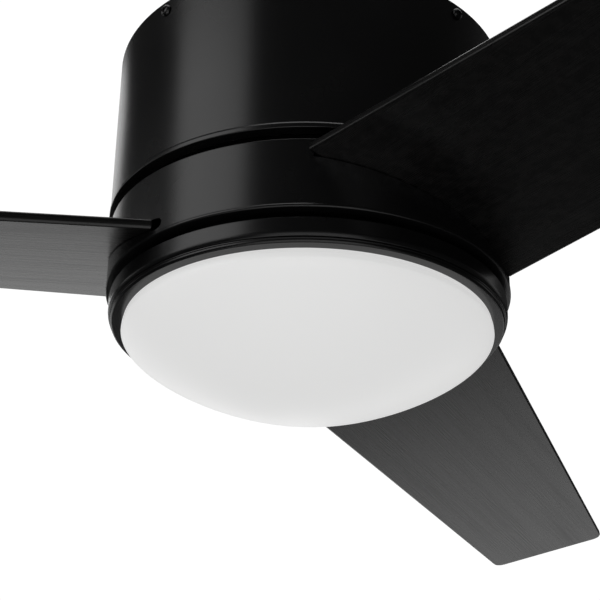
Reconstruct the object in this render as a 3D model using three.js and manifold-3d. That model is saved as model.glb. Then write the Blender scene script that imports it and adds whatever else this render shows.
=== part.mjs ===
// Ceiling fan with light, flush to the ceiling. Millimetres, +Z up, origin on the ceiling at the fan's axis.
import * as THREE from "three";
import { mergeVertices } from "three/addons/utils/BufferGeometryUtils.js";
import Module from "manifold-3d";

// ---------- driving sizes ----------

// Clearances
const TOUCH_GAP = 0.3; // left between two pieces that rest on each other
const SCREW_PLAY = 0.4; // radial room around a screw in its hole
const CUT_MARGIN = 4; // how far a cutting body runs past what it cuts
const SCREW_END = 1; // how far a screw's end stands out of its last plate

// Roundness of the turned pieces
const SHELL_SEGMENTS = 40;
const INNER_SEGMENTS = 24;
const SMALL_SEGMENTS = 16;
const SCREW_SEGMENTS = 8;

// Heights of the outer silhouette, all below the ceiling
const HOUSING_TOP = -1.2;
const HOUSING_HEIGHT = 118.8;
const SHADOW_GAP = 6.7; // between the housing and the drum
const DRUM_HEIGHT = 46.1;
const LIGHT_GAP = 5.0; // between the drum and the light pan
const BAND_HEIGHT = 11.9; // the light pan's visible side
const BEZEL_SEAM = 0.3; // between the pan and the bezel ring
const BEZEL_HEIGHT = 3.15;

// Radii of the outer silhouette, each stepped back from the one above
const HOUSING_RADIUS = 131.4;
const HOUSING_LIP = 0.6;
const DRUM_STEP_BACK = 0.9;
const LIGHT_STEP_BACK = 2.2;
const BEZEL_FACE_WIDTH = 10.3;
const SHELL_THICKNESS = 1.5;

// Upper housing
const HOUSING_LIP_HEIGHT = 3;
const HOUSING_FLANGE_WIDTH = 6;

// Ceiling plate
const PLATE_SIDE_GAP = 0.7;
const PLATE_THICKNESS = 2;
const PLATE_RIM_HEIGHT = 16;
const WIRING_HOLE_RADIUS = 28;
const BOX_SCREW_OFFSET = 44.5;
const BOX_SLOT_RADIUS = 3;
const BOX_SLOT_LENGTH = 16;
const BOX_SLOT_EASE = 2.7;

// Side screws of the housing
const HOUSING_SCREW_COUNT = 4;
const HOUSING_SCREW_AZIMUTH = 45;
const HOUSING_SCREW_HEIGHT = -9;
const HOUSING_SCREW_RADIUS = 1.9;
const HOUSING_SCREW_HEAD_RADIUS = 4;
const HOUSING_SCREW_HEAD = 2.4;
const HOUSING_SCREW_LENGTH = 7.5;

// Motor hanger
const LEG_COUNT = 3;
const LEG_AZIMUTH = 30;
const LEG_WIDTH = 26;
const LEG_THICKNESS = 3;
const LEG_HUB_OVERLAP = 6; // how far a leg runs into the hub
const FOOT_SETBACK = 15.2; // from the plate's rim to the foot's end
const FOOT_LENGTH = 22;
const FOOT_BOLT_SETBACK = 10; // from the foot's end to its bolt
const HANGER_HUB_RADIUS = 36;
const HANGER_HUB_TOP = -62.3;
const HANGER_HUB_THICKNESS = 4;
const HANGER_BOLT_RADIUS = 2.8;
const HANGER_BOLT_HEAD_RADIUS = 5.5;
const HANGER_BOLT_HEAD = 4;

// Shaft
const SHAFT_RADIUS = 8.5;
const SHAFT_BORE = 5.5;
const SHAFT_STANDOUT = 10.3; // above the hanger's hub
const SHAFT_FOOT = 1; // below the light's nut
const SHAFT_COLLAR_RADIUS = 13;
const SHAFT_COLLAR_HEIGHT = 3.4;
const NUT_RADIUS = 14;
const TOP_NUT_HEIGHT = 7;
const LIGHT_NUT_HEIGHT = 5;

// Motor
const MOTOR_TOP_DROP = 1.7; // from the drum's shoulder down to the upper cover
const STATOR_SHARE = 0.498; // the stator's radius as a share of the drum's
const AIR_GAP = 0.6;
const SLOT_COUNT = 12;
const TOOTH_ROOT_RADIUS = 28;
const TOOTH_SHOE_DEPTH = 8;
const TOOTH_SHOE_TIP = 3;
const TOOTH_HALF_WIDTH = 6;
const TOOTH_SHOE_HALF_ANGLE = 12.6;
const COIL_ROOT_GAP = 3;
const COIL_SHOE_GAP = 2;
const COIL_OVERHANG = 6;
const COIL_STRAND_WIDTH = 3;
const COIL_STRAND_INSET = [4, 1];
const WINDING_HEADROOM = 3.5; // between a coil's end and the cover
const ROTOR_RING_THICKNESS = 12;
const ROTOR_RING_OVERLAP = 2; // past the stator at each end
const COVER_WALL = 2.5;
const COVER_FLANGE_GAP = 3; // between the flange and the arms' pitched plates
const COVER_FLANGE_THICKNESS = 3;

// Bearings
const RACE_WALL = 3.2;
const RACE_GAP = 4.6; // between the two races
const BALL_PITCH_RADIUS = 14.3;
const BALL_RADIUS = 2;
const BALL_COUNT = 8;
const CAGE_HALF_WIDTH = 0.5;
const CAGE_HALF_HEIGHT = 0.9;
const BEARING_WIDTH = 9.4;
const HUB_WALL = 3.4;
const HUB_EXTRA_DEPTH = 1;

// Blades
const BLADE_COUNT = 3;
const FIRST_BLADE_AZIMUTH = 65.58;
const BLADE_PITCH = -10.68;
const BLADE_LEVEL = 0.5575; // how far down the drum's side the blades' undersides cross it
const BLADE_THICKNESS = 6.3;
const BLADE_ROOT_DEPTH = 25; // inside the drum's wall
const BLADE_LENGTH = 549.5;
const TRAILING_OFFSET = 85.7; // of the lower edge from the radial line, run back to the axis
const TRAILING_SLOPE = -0.0084;
const LEADING_OFFSET = -90.1; // of the upper edge from the radial line, run back to the axis
const LEADING_SLOPE = 0.0896;
const END_SKEW = 0.0406; // the ends lie square to the blade's middle line
const ROOT_CORNER = 0.8;
const TIP_CORNER = 9;
const SLOT_CLEARANCE = 0.6; // over and under the blade
const SLOT_LEADING_CLEARANCE = 2.2; // past the last of the blade inside the drum's wall
const SLOT_TRAILING_CLEARANCE = 3.6;
const SLOT_LEADING_CORNER = 1.5;
const SLOT_TRAILING_CORNER = 3.6;
const SLOT_DEPTH = 20; // how far the slot's cut runs in past the blade's root

// Blade arms and their screws
const ARM_THICKNESS = 3;
const ARM_STEP = 0.1; // from the blade's top up to the flange
const ARM_MOTOR_GAP = 0.8;
const ARM_FOOT_HALF_WIDTH = 26;
const ARM_PLATE_BACK = 8.5; // behind the blade's root
const ARM_PLATE_REACH = 12.5; // over the blade
const ARM_PLATE_HALF_WIDTH = 38;
const ARM_OVERLAP = 4;
const BLADE_SCREW_INSETS = [7.5, 8.5, 6]; // from the blade's root
const BLADE_SCREW_SPACING = 27;
const ARM_SCREW_INSET = 6.3;
const ARM_SCREW_SPACING = 32;
const M4_RADIUS = 2.2;
const M4_HEAD_RADIUS = 4.4;
const M4_HEAD = 2.6;

// Drum
const DRUM_FLOOR_HOLE = 50;
const DRUM_NECK_STEP = 11;
const DRUM_NECK_HEIGHT = 9.5; // rises into the housing, so nothing shows through the upper gap
const DRUM_SCREW_COUNT = 3;
const DRUM_SCREW_RING = 60;
const DRUM_SCREW_HEAD = 2.1;
const DRUM_SCREW_AZIMUTH = 5.58;

// Light pan
const PAN_NECK_STEP = 14.8;
const PAN_NECK_HEIGHT = 3.6; // rises towards the drum's floor, so nothing shows through the lower gap
const PAN_CURL_HEIGHT = 5.1; // of the rolled lower edge
const PAN_CURL_MIDDLE = [0.3, 2.3]; // set back and height of the curl's middle
const PAN_CURL_FOOT = 1.2; // the curl's set back at the foot
const PAN_CURL_INNER = 1.1;

// Bezel ring
const BEZEL_BORE_GAP = 0.4; // round the lens's rim
const BEZEL_COLLAR_STEP = 3.1;
const BEZEL_COLLAR_WALL = 3.6;
const BEZEL_COLLAR_RISE = 9.15;
const BEZEL_LIP_HEIGHT = 3.75;
const BEZEL_ROUNDING = [
  [3.9, 0],
  [2.6, 0.5],
  [2, 1.6],
]; // set back from the pan's side and height above the rim
const BEZEL_TOP_STEP = 1.4;

// Lens
const LENS_THICKNESS = 2.5;
const LENS_COLLAR_RISE = 6.15;
const LENS_COLLAR_EASE = 0.1;
const LENS_SHOULDER = 0.5;
const LENS_PROFILE = [
  [0, 52.7],
  [0.202, 50.8],
  [0.404, 45.2],
  [0.607, 36.2],
  [0.809, 24.7],
  [0.91, 17.3],
  [0.972, 11.4],
  [1.002, 8.2],
  [1.0113, 5.3],
  [1.0095, 2.4],
]; // the outer profile: share of the rim's radius, depth below the rim's plane

// Twist lock between the lens and the tray
const LOCK_COUNT = 3;
const LOCK_AZIMUTH = 90;
const TAB_ANGLE = 10;
const TAB_REACH = 5;
const TAB_HEIGHT = 1.7;
const LUG_ANGLE = 16;
const LUG_REACH = 6;
const LUG_HEIGHT = 1.5;
const LOCK_ROOT = 1; // how far a tab or a lug runs into its wall

// Tray, board and driver
const TRAY_SIDE_ROOM = 10; // between the tray and the lens's rim
const TRAY_RISE = 1.15; // of the tray's underside above the rim
const TRAY_THICKNESS = 1.2;
const BOARD_SIDE_ROOM = 13;
const LED_BOARD_THICKNESS = 1.6;
const LED_RINGS = [
  [6, 0.358],
  [12, 0.8],
]; // count, share of the board's radius
const LED_SIDE = 5;
const LED_HEIGHT = 0.9;
const DRIVER_SECTION = [34, 9.4];
const DRIVER_ROOM = [11, 13]; // from the nut to the driver, and on to the tray's wall

// Wiring
const TERMINAL_SIZE = [42, 18, 14];
const TERMINAL_OFFSET = 76;
const TERMINAL_AZIMUTH = 90;
const CAPACITOR_SIZE = [48, 22, 26];
const CAPACITOR_OFFSET = 74;
const CAPACITOR_AZIMUTH = 210;
const HARNESS_RADIUS = 1.6;
const HARNESS_FOOT_GAP = 0.7;

// ---------- sizes that follow from those above ----------

// Heights
const HOUSING_BOTTOM = HOUSING_TOP - HOUSING_HEIGHT;
const DRUM_TOP = HOUSING_BOTTOM - SHADOW_GAP;
const DRUM_BOTTOM = DRUM_TOP - DRUM_HEIGHT;
const PAN_TOP = DRUM_BOTTOM - LIGHT_GAP;
const PAN_BOTTOM = PAN_TOP - BAND_HEIGHT;
const BEZEL_TOP = PAN_BOTTOM - BEZEL_SEAM;
const LENS_RIM = BEZEL_TOP - BEZEL_HEIGHT;
const PAN_FLOOR = PAN_TOP - SHELL_THICKNESS;
const PLATE_UNDERSIDE = -PLATE_THICKNESS;
const SHAFT_TOP = HANGER_HUB_TOP + SHAFT_STANDOUT;
const LIGHT_NUT_BOTTOM = PAN_FLOOR - TOUCH_GAP - LIGHT_NUT_HEIGHT;
const SHAFT_END = LIGHT_NUT_BOTTOM - SHAFT_FOOT;
const UPPER_COVER_TOP = DRUM_TOP - MOTOR_TOP_DROP;
const LOWER_COVER_BOTTOM = DRUM_BOTTOM + SHELL_THICKNESS + TOUCH_GAP;
const MOTOR_MIDDLE = (UPPER_COVER_TOP + LOWER_COVER_BOTTOM) / 2;
const WINDING_END = COIL_OVERHANG + TOUCH_GAP + WINDING_HEADROOM;
const STATOR_HEIGHT = UPPER_COVER_TOP - LOWER_COVER_BOTTOM - 2 * (COVER_WALL + WINDING_END);
const ROTOR_RING_HEIGHT = STATOR_HEIGHT + 2 * ROTOR_RING_OVERLAP;
const BLADE_UNDERSIDE = DRUM_TOP - BLADE_LEVEL * DRUM_HEIGHT;
const COVER_FLANGE_TOP = BLADE_UNDERSIDE + BLADE_THICKNESS + ARM_STEP;
const TRAY_BOTTOM = LENS_RIM + TRAY_RISE;
const LENS_COLLAR_TOP = LENS_RIM + LENS_COLLAR_RISE;
const TAB_BOTTOM = LENS_COLLAR_TOP - TAB_HEIGHT;
const LUG_TOP = TAB_BOTTOM - TOUCH_GAP;
const PITCH_RADIANS = THREE.MathUtils.degToRad(BLADE_PITCH);

// Radii
const DRUM_RADIUS = HOUSING_RADIUS - DRUM_STEP_BACK;
const LIGHT_RADIUS = DRUM_RADIUS - LIGHT_STEP_BACK;
const LENS_RIM_RADIUS = LIGHT_RADIUS - BEZEL_FACE_WIDTH;
const PLATE_RADIUS = HOUSING_RADIUS - SHELL_THICKNESS - PLATE_SIDE_GAP;
const HANGER_FOOT_OUTER = PLATE_RADIUS - PLATE_THICKNESS - FOOT_SETBACK;
const HANGER_FOOT_INNER = HANGER_FOOT_OUTER - FOOT_LENGTH;
const HANGER_BOLT_RING = HANGER_FOOT_OUTER - FOOT_BOLT_SETBACK;
const STATOR_RADIUS = STATOR_SHARE * DRUM_RADIUS;
const TOOTH_SHOE_RADIUS = STATOR_RADIUS - TOOTH_SHOE_DEPTH;
const COIL_INNER_RADIUS = TOOTH_ROOT_RADIUS + COIL_ROOT_GAP;
const COIL_OUTER_RADIUS = TOOTH_SHOE_RADIUS - COIL_SHOE_GAP;
const ROTOR_RING_INNER = STATOR_RADIUS + AIR_GAP;
const ROTOR_RING_OUTER = ROTOR_RING_INNER + ROTOR_RING_THICKNESS;
const WALL_INNER = ROTOR_RING_OUTER + TOUCH_GAP;
const WALL_OUTER = WALL_INNER + COVER_WALL;
const INNER_RACE_START = SHAFT_RADIUS + TOUCH_GAP;
const INNER_RACE_END = INNER_RACE_START + RACE_WALL;
const OUTER_RACE_START = INNER_RACE_END + RACE_GAP;
const OUTER_RACE_END = OUTER_RACE_START + RACE_WALL;
const HUB_INNER = OUTER_RACE_END + TOUCH_GAP;
const HUB_DEPTH = BEARING_WIDTH + HUB_EXTRA_DEPTH;
const BLADE_ROOT = DRUM_RADIUS - BLADE_ROOT_DEPTH;
const BLADE_TIP = BLADE_ROOT + BLADE_LENGTH;
const ARM_FOOT_START = WALL_OUTER + ARM_MOTOR_GAP;
const ARM_PLATE_START = BLADE_ROOT - ARM_PLATE_BACK;
const ARM_PLATE_END = BLADE_ROOT + ARM_PLATE_REACH;
const COVER_FLANGE_RADIUS = ARM_PLATE_START - COVER_FLANGE_GAP;
const DRUM_NECK_RADIUS = DRUM_RADIUS - DRUM_NECK_STEP;
const PAN_NECK_RADIUS = LIGHT_RADIUS - PAN_NECK_STEP;
const BEZEL_BORE = LENS_RIM_RADIUS + BEZEL_BORE_GAP;
const BEZEL_COLLAR_OUTER = LIGHT_RADIUS - BEZEL_COLLAR_STEP;
const BEZEL_COLLAR_INNER = BEZEL_COLLAR_OUTER - BEZEL_COLLAR_WALL;
const LENS_COLLAR_INNER = LENS_RIM_RADIUS - LENS_THICKNESS;
const TRAY_RADIUS = LENS_RIM_RADIUS - TRAY_SIDE_ROOM;
const LED_BOARD_RADIUS = TRAY_RADIUS - BOARD_SIDE_ROOM;
const DRIVER_START = NUT_RADIUS + DRIVER_ROOM[0];
const DRIVER_END = TRAY_RADIUS - DRIVER_ROOM[1];

// Screw places [x, y] on a blade that lies along +X
const BLADE_SCREW_PLACES = BLADE_SCREW_INSETS.map((inset, index) => [
  BLADE_ROOT + inset,
  (index - 1) * BLADE_SCREW_SPACING,
]);
const ARM_SCREW_PLACES = [-0.5, 0.5].map((side) => [
  ARM_FOOT_START + ARM_SCREW_INSET,
  side * ARM_SCREW_SPACING,
]);

// ---------- solids ----------

const wasm = await Module();
wasm.setup();

/** A closed three.js geometry as a solid that can be cut and joined. */
function solid(geometry) {
  const plain = geometry.clone();
  plain.deleteAttribute("normal");
  plain.deleteAttribute("uv");
  const merged = mergeVertices(plain, 1e-4);
  return new wasm.Manifold(
    new wasm.Mesh({
      numProp: 3,
      vertProperties: new Float32Array(merged.attributes.position.array),
      triVerts: new Uint32Array(merged.index.array),
    }),
  );
}

/** A solid back as a three.js geometry. */
function surface(body) {
  const mesh = body.getMesh();
  const geometry = new THREE.BufferGeometry();
  geometry.setAttribute("position", new THREE.BufferAttribute(mesh.vertProperties, 3));
  geometry.setIndex(new THREE.BufferAttribute(mesh.triVerts, 1));
  geometry.computeVertexNormals();
  return geometry;
}

/** The first geometry with each of the others cut away. */
function cut(geometry, cutters) {
  return surface(cutters.reduce((body, cutter) => body.subtract(solid(cutter)), solid(geometry)));
}

/** All the geometries joined into one. */
function join(geometries) {
  return surface(geometries.map(solid).reduce((body, piece) => body.add(piece)));
}

/** A piece turned about +Z from [radius, height] corners, listed anticlockwise in the r-z plane. */
function turned(corners, segments) {
  const points = corners.map(([r, z]) => new THREE.Vector2(r, z));
  const onAxis = corners[0][0] === 0 && corners[corners.length - 1][0] === 0;
  if (!onAxis) {
    points.push(points[0].clone());
  }
  return new THREE.LatheGeometry(points, segments).rotateX(Math.PI / 2);
}

/** A flat-ended ring about +Z. */
function ring(inner, outer, low, high, segments) {
  const corners = [
    [inner, low],
    [outer, low],
    [outer, high],
    [inner, high],
  ];
  return turned(corners, segments);
}

/** A solid disc or rod about +Z. */
function rod(radius, low, high, segments) {
  const corners = [
    [0, low],
    [radius, low],
    [radius, high],
    [0, high],
  ];
  return turned(corners, segments);
}

/** A flat outline in X-Y, raised from one height to another. */
function plate(outline, low, high) {
  const geometry = new THREE.ExtrudeGeometry(outline, {
    depth: high - low,
    bevelEnabled: false,
    curveSegments: 3,
  });
  return geometry.translate(0, 0, low);
}

/** A box given by its limits. */
function block(x, y, z) {
  const size = [x, y, z].map(([low, high]) => high - low);
  const middle = [x, y, z].map(([low, high]) => (low + high) / 2);
  return new THREE.BoxGeometry(...size).translate(...middle);
}

/** A straight-sided outline through corners [x, y], each with its own corner radius. */
function roundedOutline(corners, radii) {
  const shape = new THREE.Shape();
  const count = corners.length;
  corners.forEach((corner, index) => {
    const here = new THREE.Vector2(...corner);
    const before = new THREE.Vector2(...corners[(index + count - 1) % count]);
    const after = new THREE.Vector2(...corners[(index + 1) % count]);
    const start = before.sub(here).setLength(radii[index]).add(here);
    const end = after.sub(here).setLength(radii[index]).add(here);
    if (index === 0) {
      shape.moveTo(start.x, start.y);
    } else {
      shape.lineTo(start.x, start.y);
    }
    shape.quadraticCurveTo(here.x, here.y, end.x, end.y);
  });
  shape.closePath();
  return shape;
}

/** A copy of a geometry turned about +Z by an angle in degrees. */
function turnedTo(geometry, azimuth) {
  return geometry.clone().rotateZ(THREE.MathUtils.degToRad(azimuth));
}

/** Equal azimuths in degrees round a circle. */
function azimuths(count, first) {
  return Array.from({ length: count }, (_, index) => first + (360 * index) / count);
}

/** A pan-head screw that stands on +Z, the head's underside at zero and the shank running up. */
function panScrew(shankRadius, length, headRadius, headHeight) {
  const corners = [
    [0, -headHeight],
    [headRadius * 0.8, -headHeight],
    [headRadius, 0],
    [shankRadius, 0],
    [shankRadius, length],
    [0, length],
  ];
  return turned(corners, SCREW_SEGMENTS);
}

// ---------- finishes ----------

/** The satin black paint of the outer metalwork. */
function blackPaint() {
  return new THREE.MeshStandardMaterial({ color: 0x0d0d0e, roughness: 0.42, metalness: 0.3 });
}

/** The matt black of the wooden blades. */
function bladeBlack() {
  return new THREE.MeshStandardMaterial({ color: 0x141414, roughness: 0.6, metalness: 0 });
}

/** Zinc-plated steel of brackets, screws and the shaft. */
function zincSteel() {
  return new THREE.MeshStandardMaterial({ color: 0xa9adb2, roughness: 0.38, metalness: 1 });
}

/** Laminated electrical steel. */
function motorSteel() {
  return new THREE.MeshStandardMaterial({ color: 0x55585c, roughness: 0.55, metalness: 0.9 });
}

/** Enamelled copper of the coils. */
function copper() {
  return new THREE.MeshStandardMaterial({ color: 0xa4522a, roughness: 0.4, metalness: 0.9 });
}

/** Cast aluminium of the motor's covers. */
function castAluminium() {
  return new THREE.MeshStandardMaterial({ color: 0x9a9ca0, roughness: 0.5, metalness: 0.9 });
}

/** Polished bearing steel. */
function bearingSteel() {
  return new THREE.MeshStandardMaterial({ color: 0xc8ccd0, roughness: 0.15, metalness: 1 });
}

/** The white opal plastic of the lens. */
function opalPlastic() {
  return new THREE.MeshStandardMaterial({ color: 0xf1f1ee, roughness: 0.35, metalness: 0 });
}

/** White-painted steel of the light's tray. */
function whitePaint() {
  return new THREE.MeshStandardMaterial({ color: 0xe9e9e6, roughness: 0.5, metalness: 0.2 });
}

/** The light's white circuit board. */
function circuitBoard() {
  return new THREE.MeshStandardMaterial({ color: 0xdcdcd4, roughness: 0.45, metalness: 0 });
}

/** Dark moulded plastic of the electrical boxes. */
function darkPlastic() {
  return new THREE.MeshStandardMaterial({ color: 0x26282b, roughness: 0.5, metalness: 0 });
}

/** The harness's rubber sleeve. */
function sleeveRubber() {
  return new THREE.MeshStandardMaterial({ color: 0x1b1b1b, roughness: 0.75, metalness: 0 });
}

const group = new THREE.Group();

/** Adds one named piece. */
function piece(name, geometry, material) {
  const mesh = new THREE.Mesh(geometry, material);
  mesh.name = name;
  group.add(mesh);
}

// ---------- ceiling plate and housing ----------

/** A rod lying along +X at the side screws' height, as a hole through the housing and the plate's rim. */
function sideHole() {
  const radius = HOUSING_SCREW_RADIUS + SCREW_PLAY;
  const start = PLATE_RADIUS - PLATE_THICKNESS - CUT_MARGIN;
  const hole = rod(radius, start, HOUSING_RADIUS + CUT_MARGIN, SCREW_SEGMENTS);
  return hole.rotateY(Math.PI / 2).translate(0, 0, HOUSING_SCREW_HEIGHT);
}

const sideAzimuths = azimuths(HOUSING_SCREW_COUNT, HOUSING_SCREW_AZIMUTH);
const sideHoles = sideAzimuths.map((azimuth) => turnedTo(sideHole(), azimuth));

/** The steel plate that is screwed to the ceiling box, with a turned-down rim. */
function ceilingPlate() {
  const rimInner = PLATE_RADIUS - PLATE_THICKNESS;
  const corners = [
    [WIRING_HOLE_RADIUS, PLATE_UNDERSIDE],
    [rimInner, PLATE_UNDERSIDE],
    [rimInner, -PLATE_RIM_HEIGHT],
    [PLATE_RADIUS, -PLATE_RIM_HEIGHT],
    [PLATE_RADIUS, 0],
    [WIRING_HOLE_RADIUS, 0],
  ];
  const half = BOX_SLOT_LENGTH / 2;
  const slots = [-BOX_SCREW_OFFSET, BOX_SCREW_OFFSET].map((x) => {
    const outline = roundedOutline(
      [
        [x - half, -BOX_SLOT_RADIUS],
        [x + half, -BOX_SLOT_RADIUS],
        [x + half, BOX_SLOT_RADIUS],
        [x - half, BOX_SLOT_RADIUS],
      ],
      Array(4).fill(BOX_SLOT_EASE),
    );
    return plate(outline, PLATE_UNDERSIDE - CUT_MARGIN, CUT_MARGIN);
  });
  const boltHole = rod(
    HANGER_BOLT_RADIUS + SCREW_PLAY,
    PLATE_UNDERSIDE - CUT_MARGIN,
    CUT_MARGIN,
    SCREW_SEGMENTS,
  ).translate(HANGER_BOLT_RING, 0, 0);
  const boltHoles = azimuths(LEG_COUNT, LEG_AZIMUTH).map((azimuth) => turnedTo(boltHole, azimuth));
  return cut(turned(corners, SHELL_SEGMENTS), [...slots, ...boltHoles, ...sideHoles]);
}

/** The upper housing: a spun cylinder with a rolled lip and an inward flange at its foot. */
function upperHousing() {
  const inner = HOUSING_RADIUS - SHELL_THICKNESS;
  const flangeInner = inner - HOUSING_FLANGE_WIDTH;
  const lipTop = HOUSING_BOTTOM + HOUSING_LIP_HEIGHT;
  const corners = [
    [flangeInner, HOUSING_BOTTOM],
    [HOUSING_RADIUS + HOUSING_LIP, HOUSING_BOTTOM],
    [HOUSING_RADIUS + HOUSING_LIP, lipTop],
    [HOUSING_RADIUS, lipTop + HOUSING_LIP],
    [HOUSING_RADIUS, HOUSING_TOP],
    [inner, HOUSING_TOP],
    [inner, HOUSING_BOTTOM + SHELL_THICKNESS],
    [flangeInner, HOUSING_BOTTOM + SHELL_THICKNESS],
  ];
  return cut(turned(corners, SHELL_SEGMENTS), sideHoles);
}

/** A side screw, its head outside the housing. */
function housingScrew(azimuth) {
  const screw = panScrew(
    HOUSING_SCREW_RADIUS,
    HOUSING_SCREW_LENGTH,
    HOUSING_SCREW_HEAD_RADIUS,
    HOUSING_SCREW_HEAD,
  );
  screw.rotateY(-Math.PI / 2).translate(HOUSING_RADIUS + TOUCH_GAP, 0, HOUSING_SCREW_HEIGHT);
  return turnedTo(screw, azimuth);
}

piece("ceiling_plate", ceilingPlate(), zincSteel());
piece("upper_housing", upperHousing(), blackPaint());
sideAzimuths.forEach((azimuth, index) => {
  piece(`housing_screw_${index + 1}`, housingScrew(azimuth), blackPaint());
});

// ---------- motor hanger, shaft and nuts ----------

const FOOT_TOP = PLATE_UNDERSIDE - TOUCH_GAP;
const FOOT_BOTTOM = FOOT_TOP - LEG_THICKNESS;
const HUB_BOTTOM = HANGER_HUB_TOP - HANGER_HUB_THICKNESS;

/** One bent leg of the hanger, from its foot under the plate down to the hub, along +X. */
function hangerLeg() {
  const hubReach = HANGER_HUB_RADIUS - LEG_HUB_OVERLAP;
  const side = new THREE.Shape(
    [
      [HANGER_FOOT_OUTER, FOOT_TOP],
      [HANGER_FOOT_INNER, FOOT_TOP],
      [hubReach, HANGER_HUB_TOP],
      [hubReach, HUB_BOTTOM],
      [hubReach + HANGER_HUB_THICKNESS, HUB_BOTTOM],
      [HANGER_FOOT_INNER + LEG_THICKNESS, FOOT_BOTTOM],
      [HANGER_FOOT_OUTER, FOOT_BOTTOM],
    ].map(([r, z]) => new THREE.Vector2(r, z)),
  );
  const leg = plate(side, -LEG_WIDTH / 2, LEG_WIDTH / 2).rotateX(Math.PI / 2);
  const hole = rod(HANGER_BOLT_RADIUS + SCREW_PLAY, FOOT_BOTTOM - CUT_MARGIN, CUT_MARGIN, SCREW_SEGMENTS);
  return cut(leg, [hole.translate(HANGER_BOLT_RING, 0, 0)]);
}

/** The pressed steel hanger that carries the motor below the ceiling plate. */
function motorHanger() {
  const hub = ring(
    SHAFT_RADIUS + TOUCH_GAP,
    HANGER_HUB_RADIUS,
    HUB_BOTTOM,
    HANGER_HUB_TOP,
    INNER_SEGMENTS,
  );
  const legs = azimuths(LEG_COUNT, LEG_AZIMUTH).map((azimuth) => turnedTo(hangerLeg(), azimuth));
  return join([hub, ...legs]);
}

/** A hexagon-headed bolt of the hanger, from below. */
function hangerBolt(azimuth) {
  const headTop = FOOT_BOTTOM - TOUCH_GAP;
  const shank = rod(HANGER_BOLT_RADIUS, headTop - HANGER_BOLT_HEAD / 2, -TOUCH_GAP, SCREW_SEGMENTS);
  const head = rod(HANGER_BOLT_HEAD_RADIUS, headTop - HANGER_BOLT_HEAD, headTop, 6);
  return turnedTo(join([shank, head]).translate(HANGER_BOLT_RING, 0, 0), azimuth);
}

/** The fixed hollow shaft, with a collar under the hanger's hub. */
function mainShaft() {
  const collarTop = HUB_BOTTOM - TOUCH_GAP;
  const corners = [
    [SHAFT_BORE, SHAFT_END],
    [SHAFT_RADIUS, SHAFT_END],
    [SHAFT_RADIUS, collarTop - SHAFT_COLLAR_HEIGHT],
    [SHAFT_COLLAR_RADIUS, collarTop - SHAFT_COLLAR_HEIGHT],
    [SHAFT_COLLAR_RADIUS, collarTop],
    [SHAFT_RADIUS, collarTop],
    [SHAFT_RADIUS, SHAFT_TOP],
    [SHAFT_BORE, SHAFT_TOP],
  ];
  return turned(corners, SMALL_SEGMENTS);
}

/** A hexagon nut on the shaft. */
function shaftNut(low, height) {
  const body = rod(NUT_RADIUS, low, low + height, 6);
  const bore = rod(SHAFT_RADIUS + TOUCH_GAP, low - CUT_MARGIN, low + height + CUT_MARGIN, SMALL_SEGMENTS);
  return cut(body, [bore]);
}

piece("motor_hanger", motorHanger(), zincSteel());
azimuths(LEG_COUNT, LEG_AZIMUTH).forEach((azimuth, index) => {
  piece(`hanger_bolt_${index + 1}`, hangerBolt(azimuth), zincSteel());
});
piece("main_shaft", mainShaft(), zincSteel());
piece("shaft_lock_nut", shaftNut(HANGER_HUB_TOP + TOUCH_GAP, TOP_NUT_HEIGHT), zincSteel());

// ---------- motor ----------

/** The laminated stator core with its teeth. */
function statorCore() {
  const outline = new THREE.Shape();
  const rootAngle = Math.asin(TOOTH_HALF_WIDTH / TOOTH_ROOT_RADIUS);
  const neckAngle = Math.asin(TOOTH_HALF_WIDTH / TOOTH_SHOE_RADIUS);
  const shoeAngle = THREE.MathUtils.degToRad(TOOTH_SHOE_HALF_ANGLE);
  const tooth = [
    [TOOTH_ROOT_RADIUS, -rootAngle],
    [TOOTH_SHOE_RADIUS, -neckAngle],
    [TOOTH_SHOE_RADIUS + TOOTH_SHOE_TIP, -shoeAngle],
    [STATOR_RADIUS, -shoeAngle],
    [STATOR_RADIUS, 0],
    [STATOR_RADIUS, shoeAngle],
    [TOOTH_SHOE_RADIUS + TOOTH_SHOE_TIP, shoeAngle],
    [TOOTH_SHOE_RADIUS, neckAngle],
    [TOOTH_ROOT_RADIUS, rootAngle],
  ];
  const points = azimuths(SLOT_COUNT, 0).flatMap((azimuth) => {
    const middle = THREE.MathUtils.degToRad(azimuth);
    return tooth.map(([r, a]) => new THREE.Vector2(r * Math.cos(middle + a), r * Math.sin(middle + a)));
  });
  outline.setFromPoints(points);
  const low = MOTOR_MIDDLE - STATOR_HEIGHT / 2;
  const high = MOTOR_MIDDLE + STATOR_HEIGHT / 2;
  const bore = rod(SHAFT_RADIUS + TOUCH_GAP, low - CUT_MARGIN, high + CUT_MARGIN, SMALL_SEGMENTS);
  return cut(plate(outline, low, high), [bore]);
}

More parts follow.
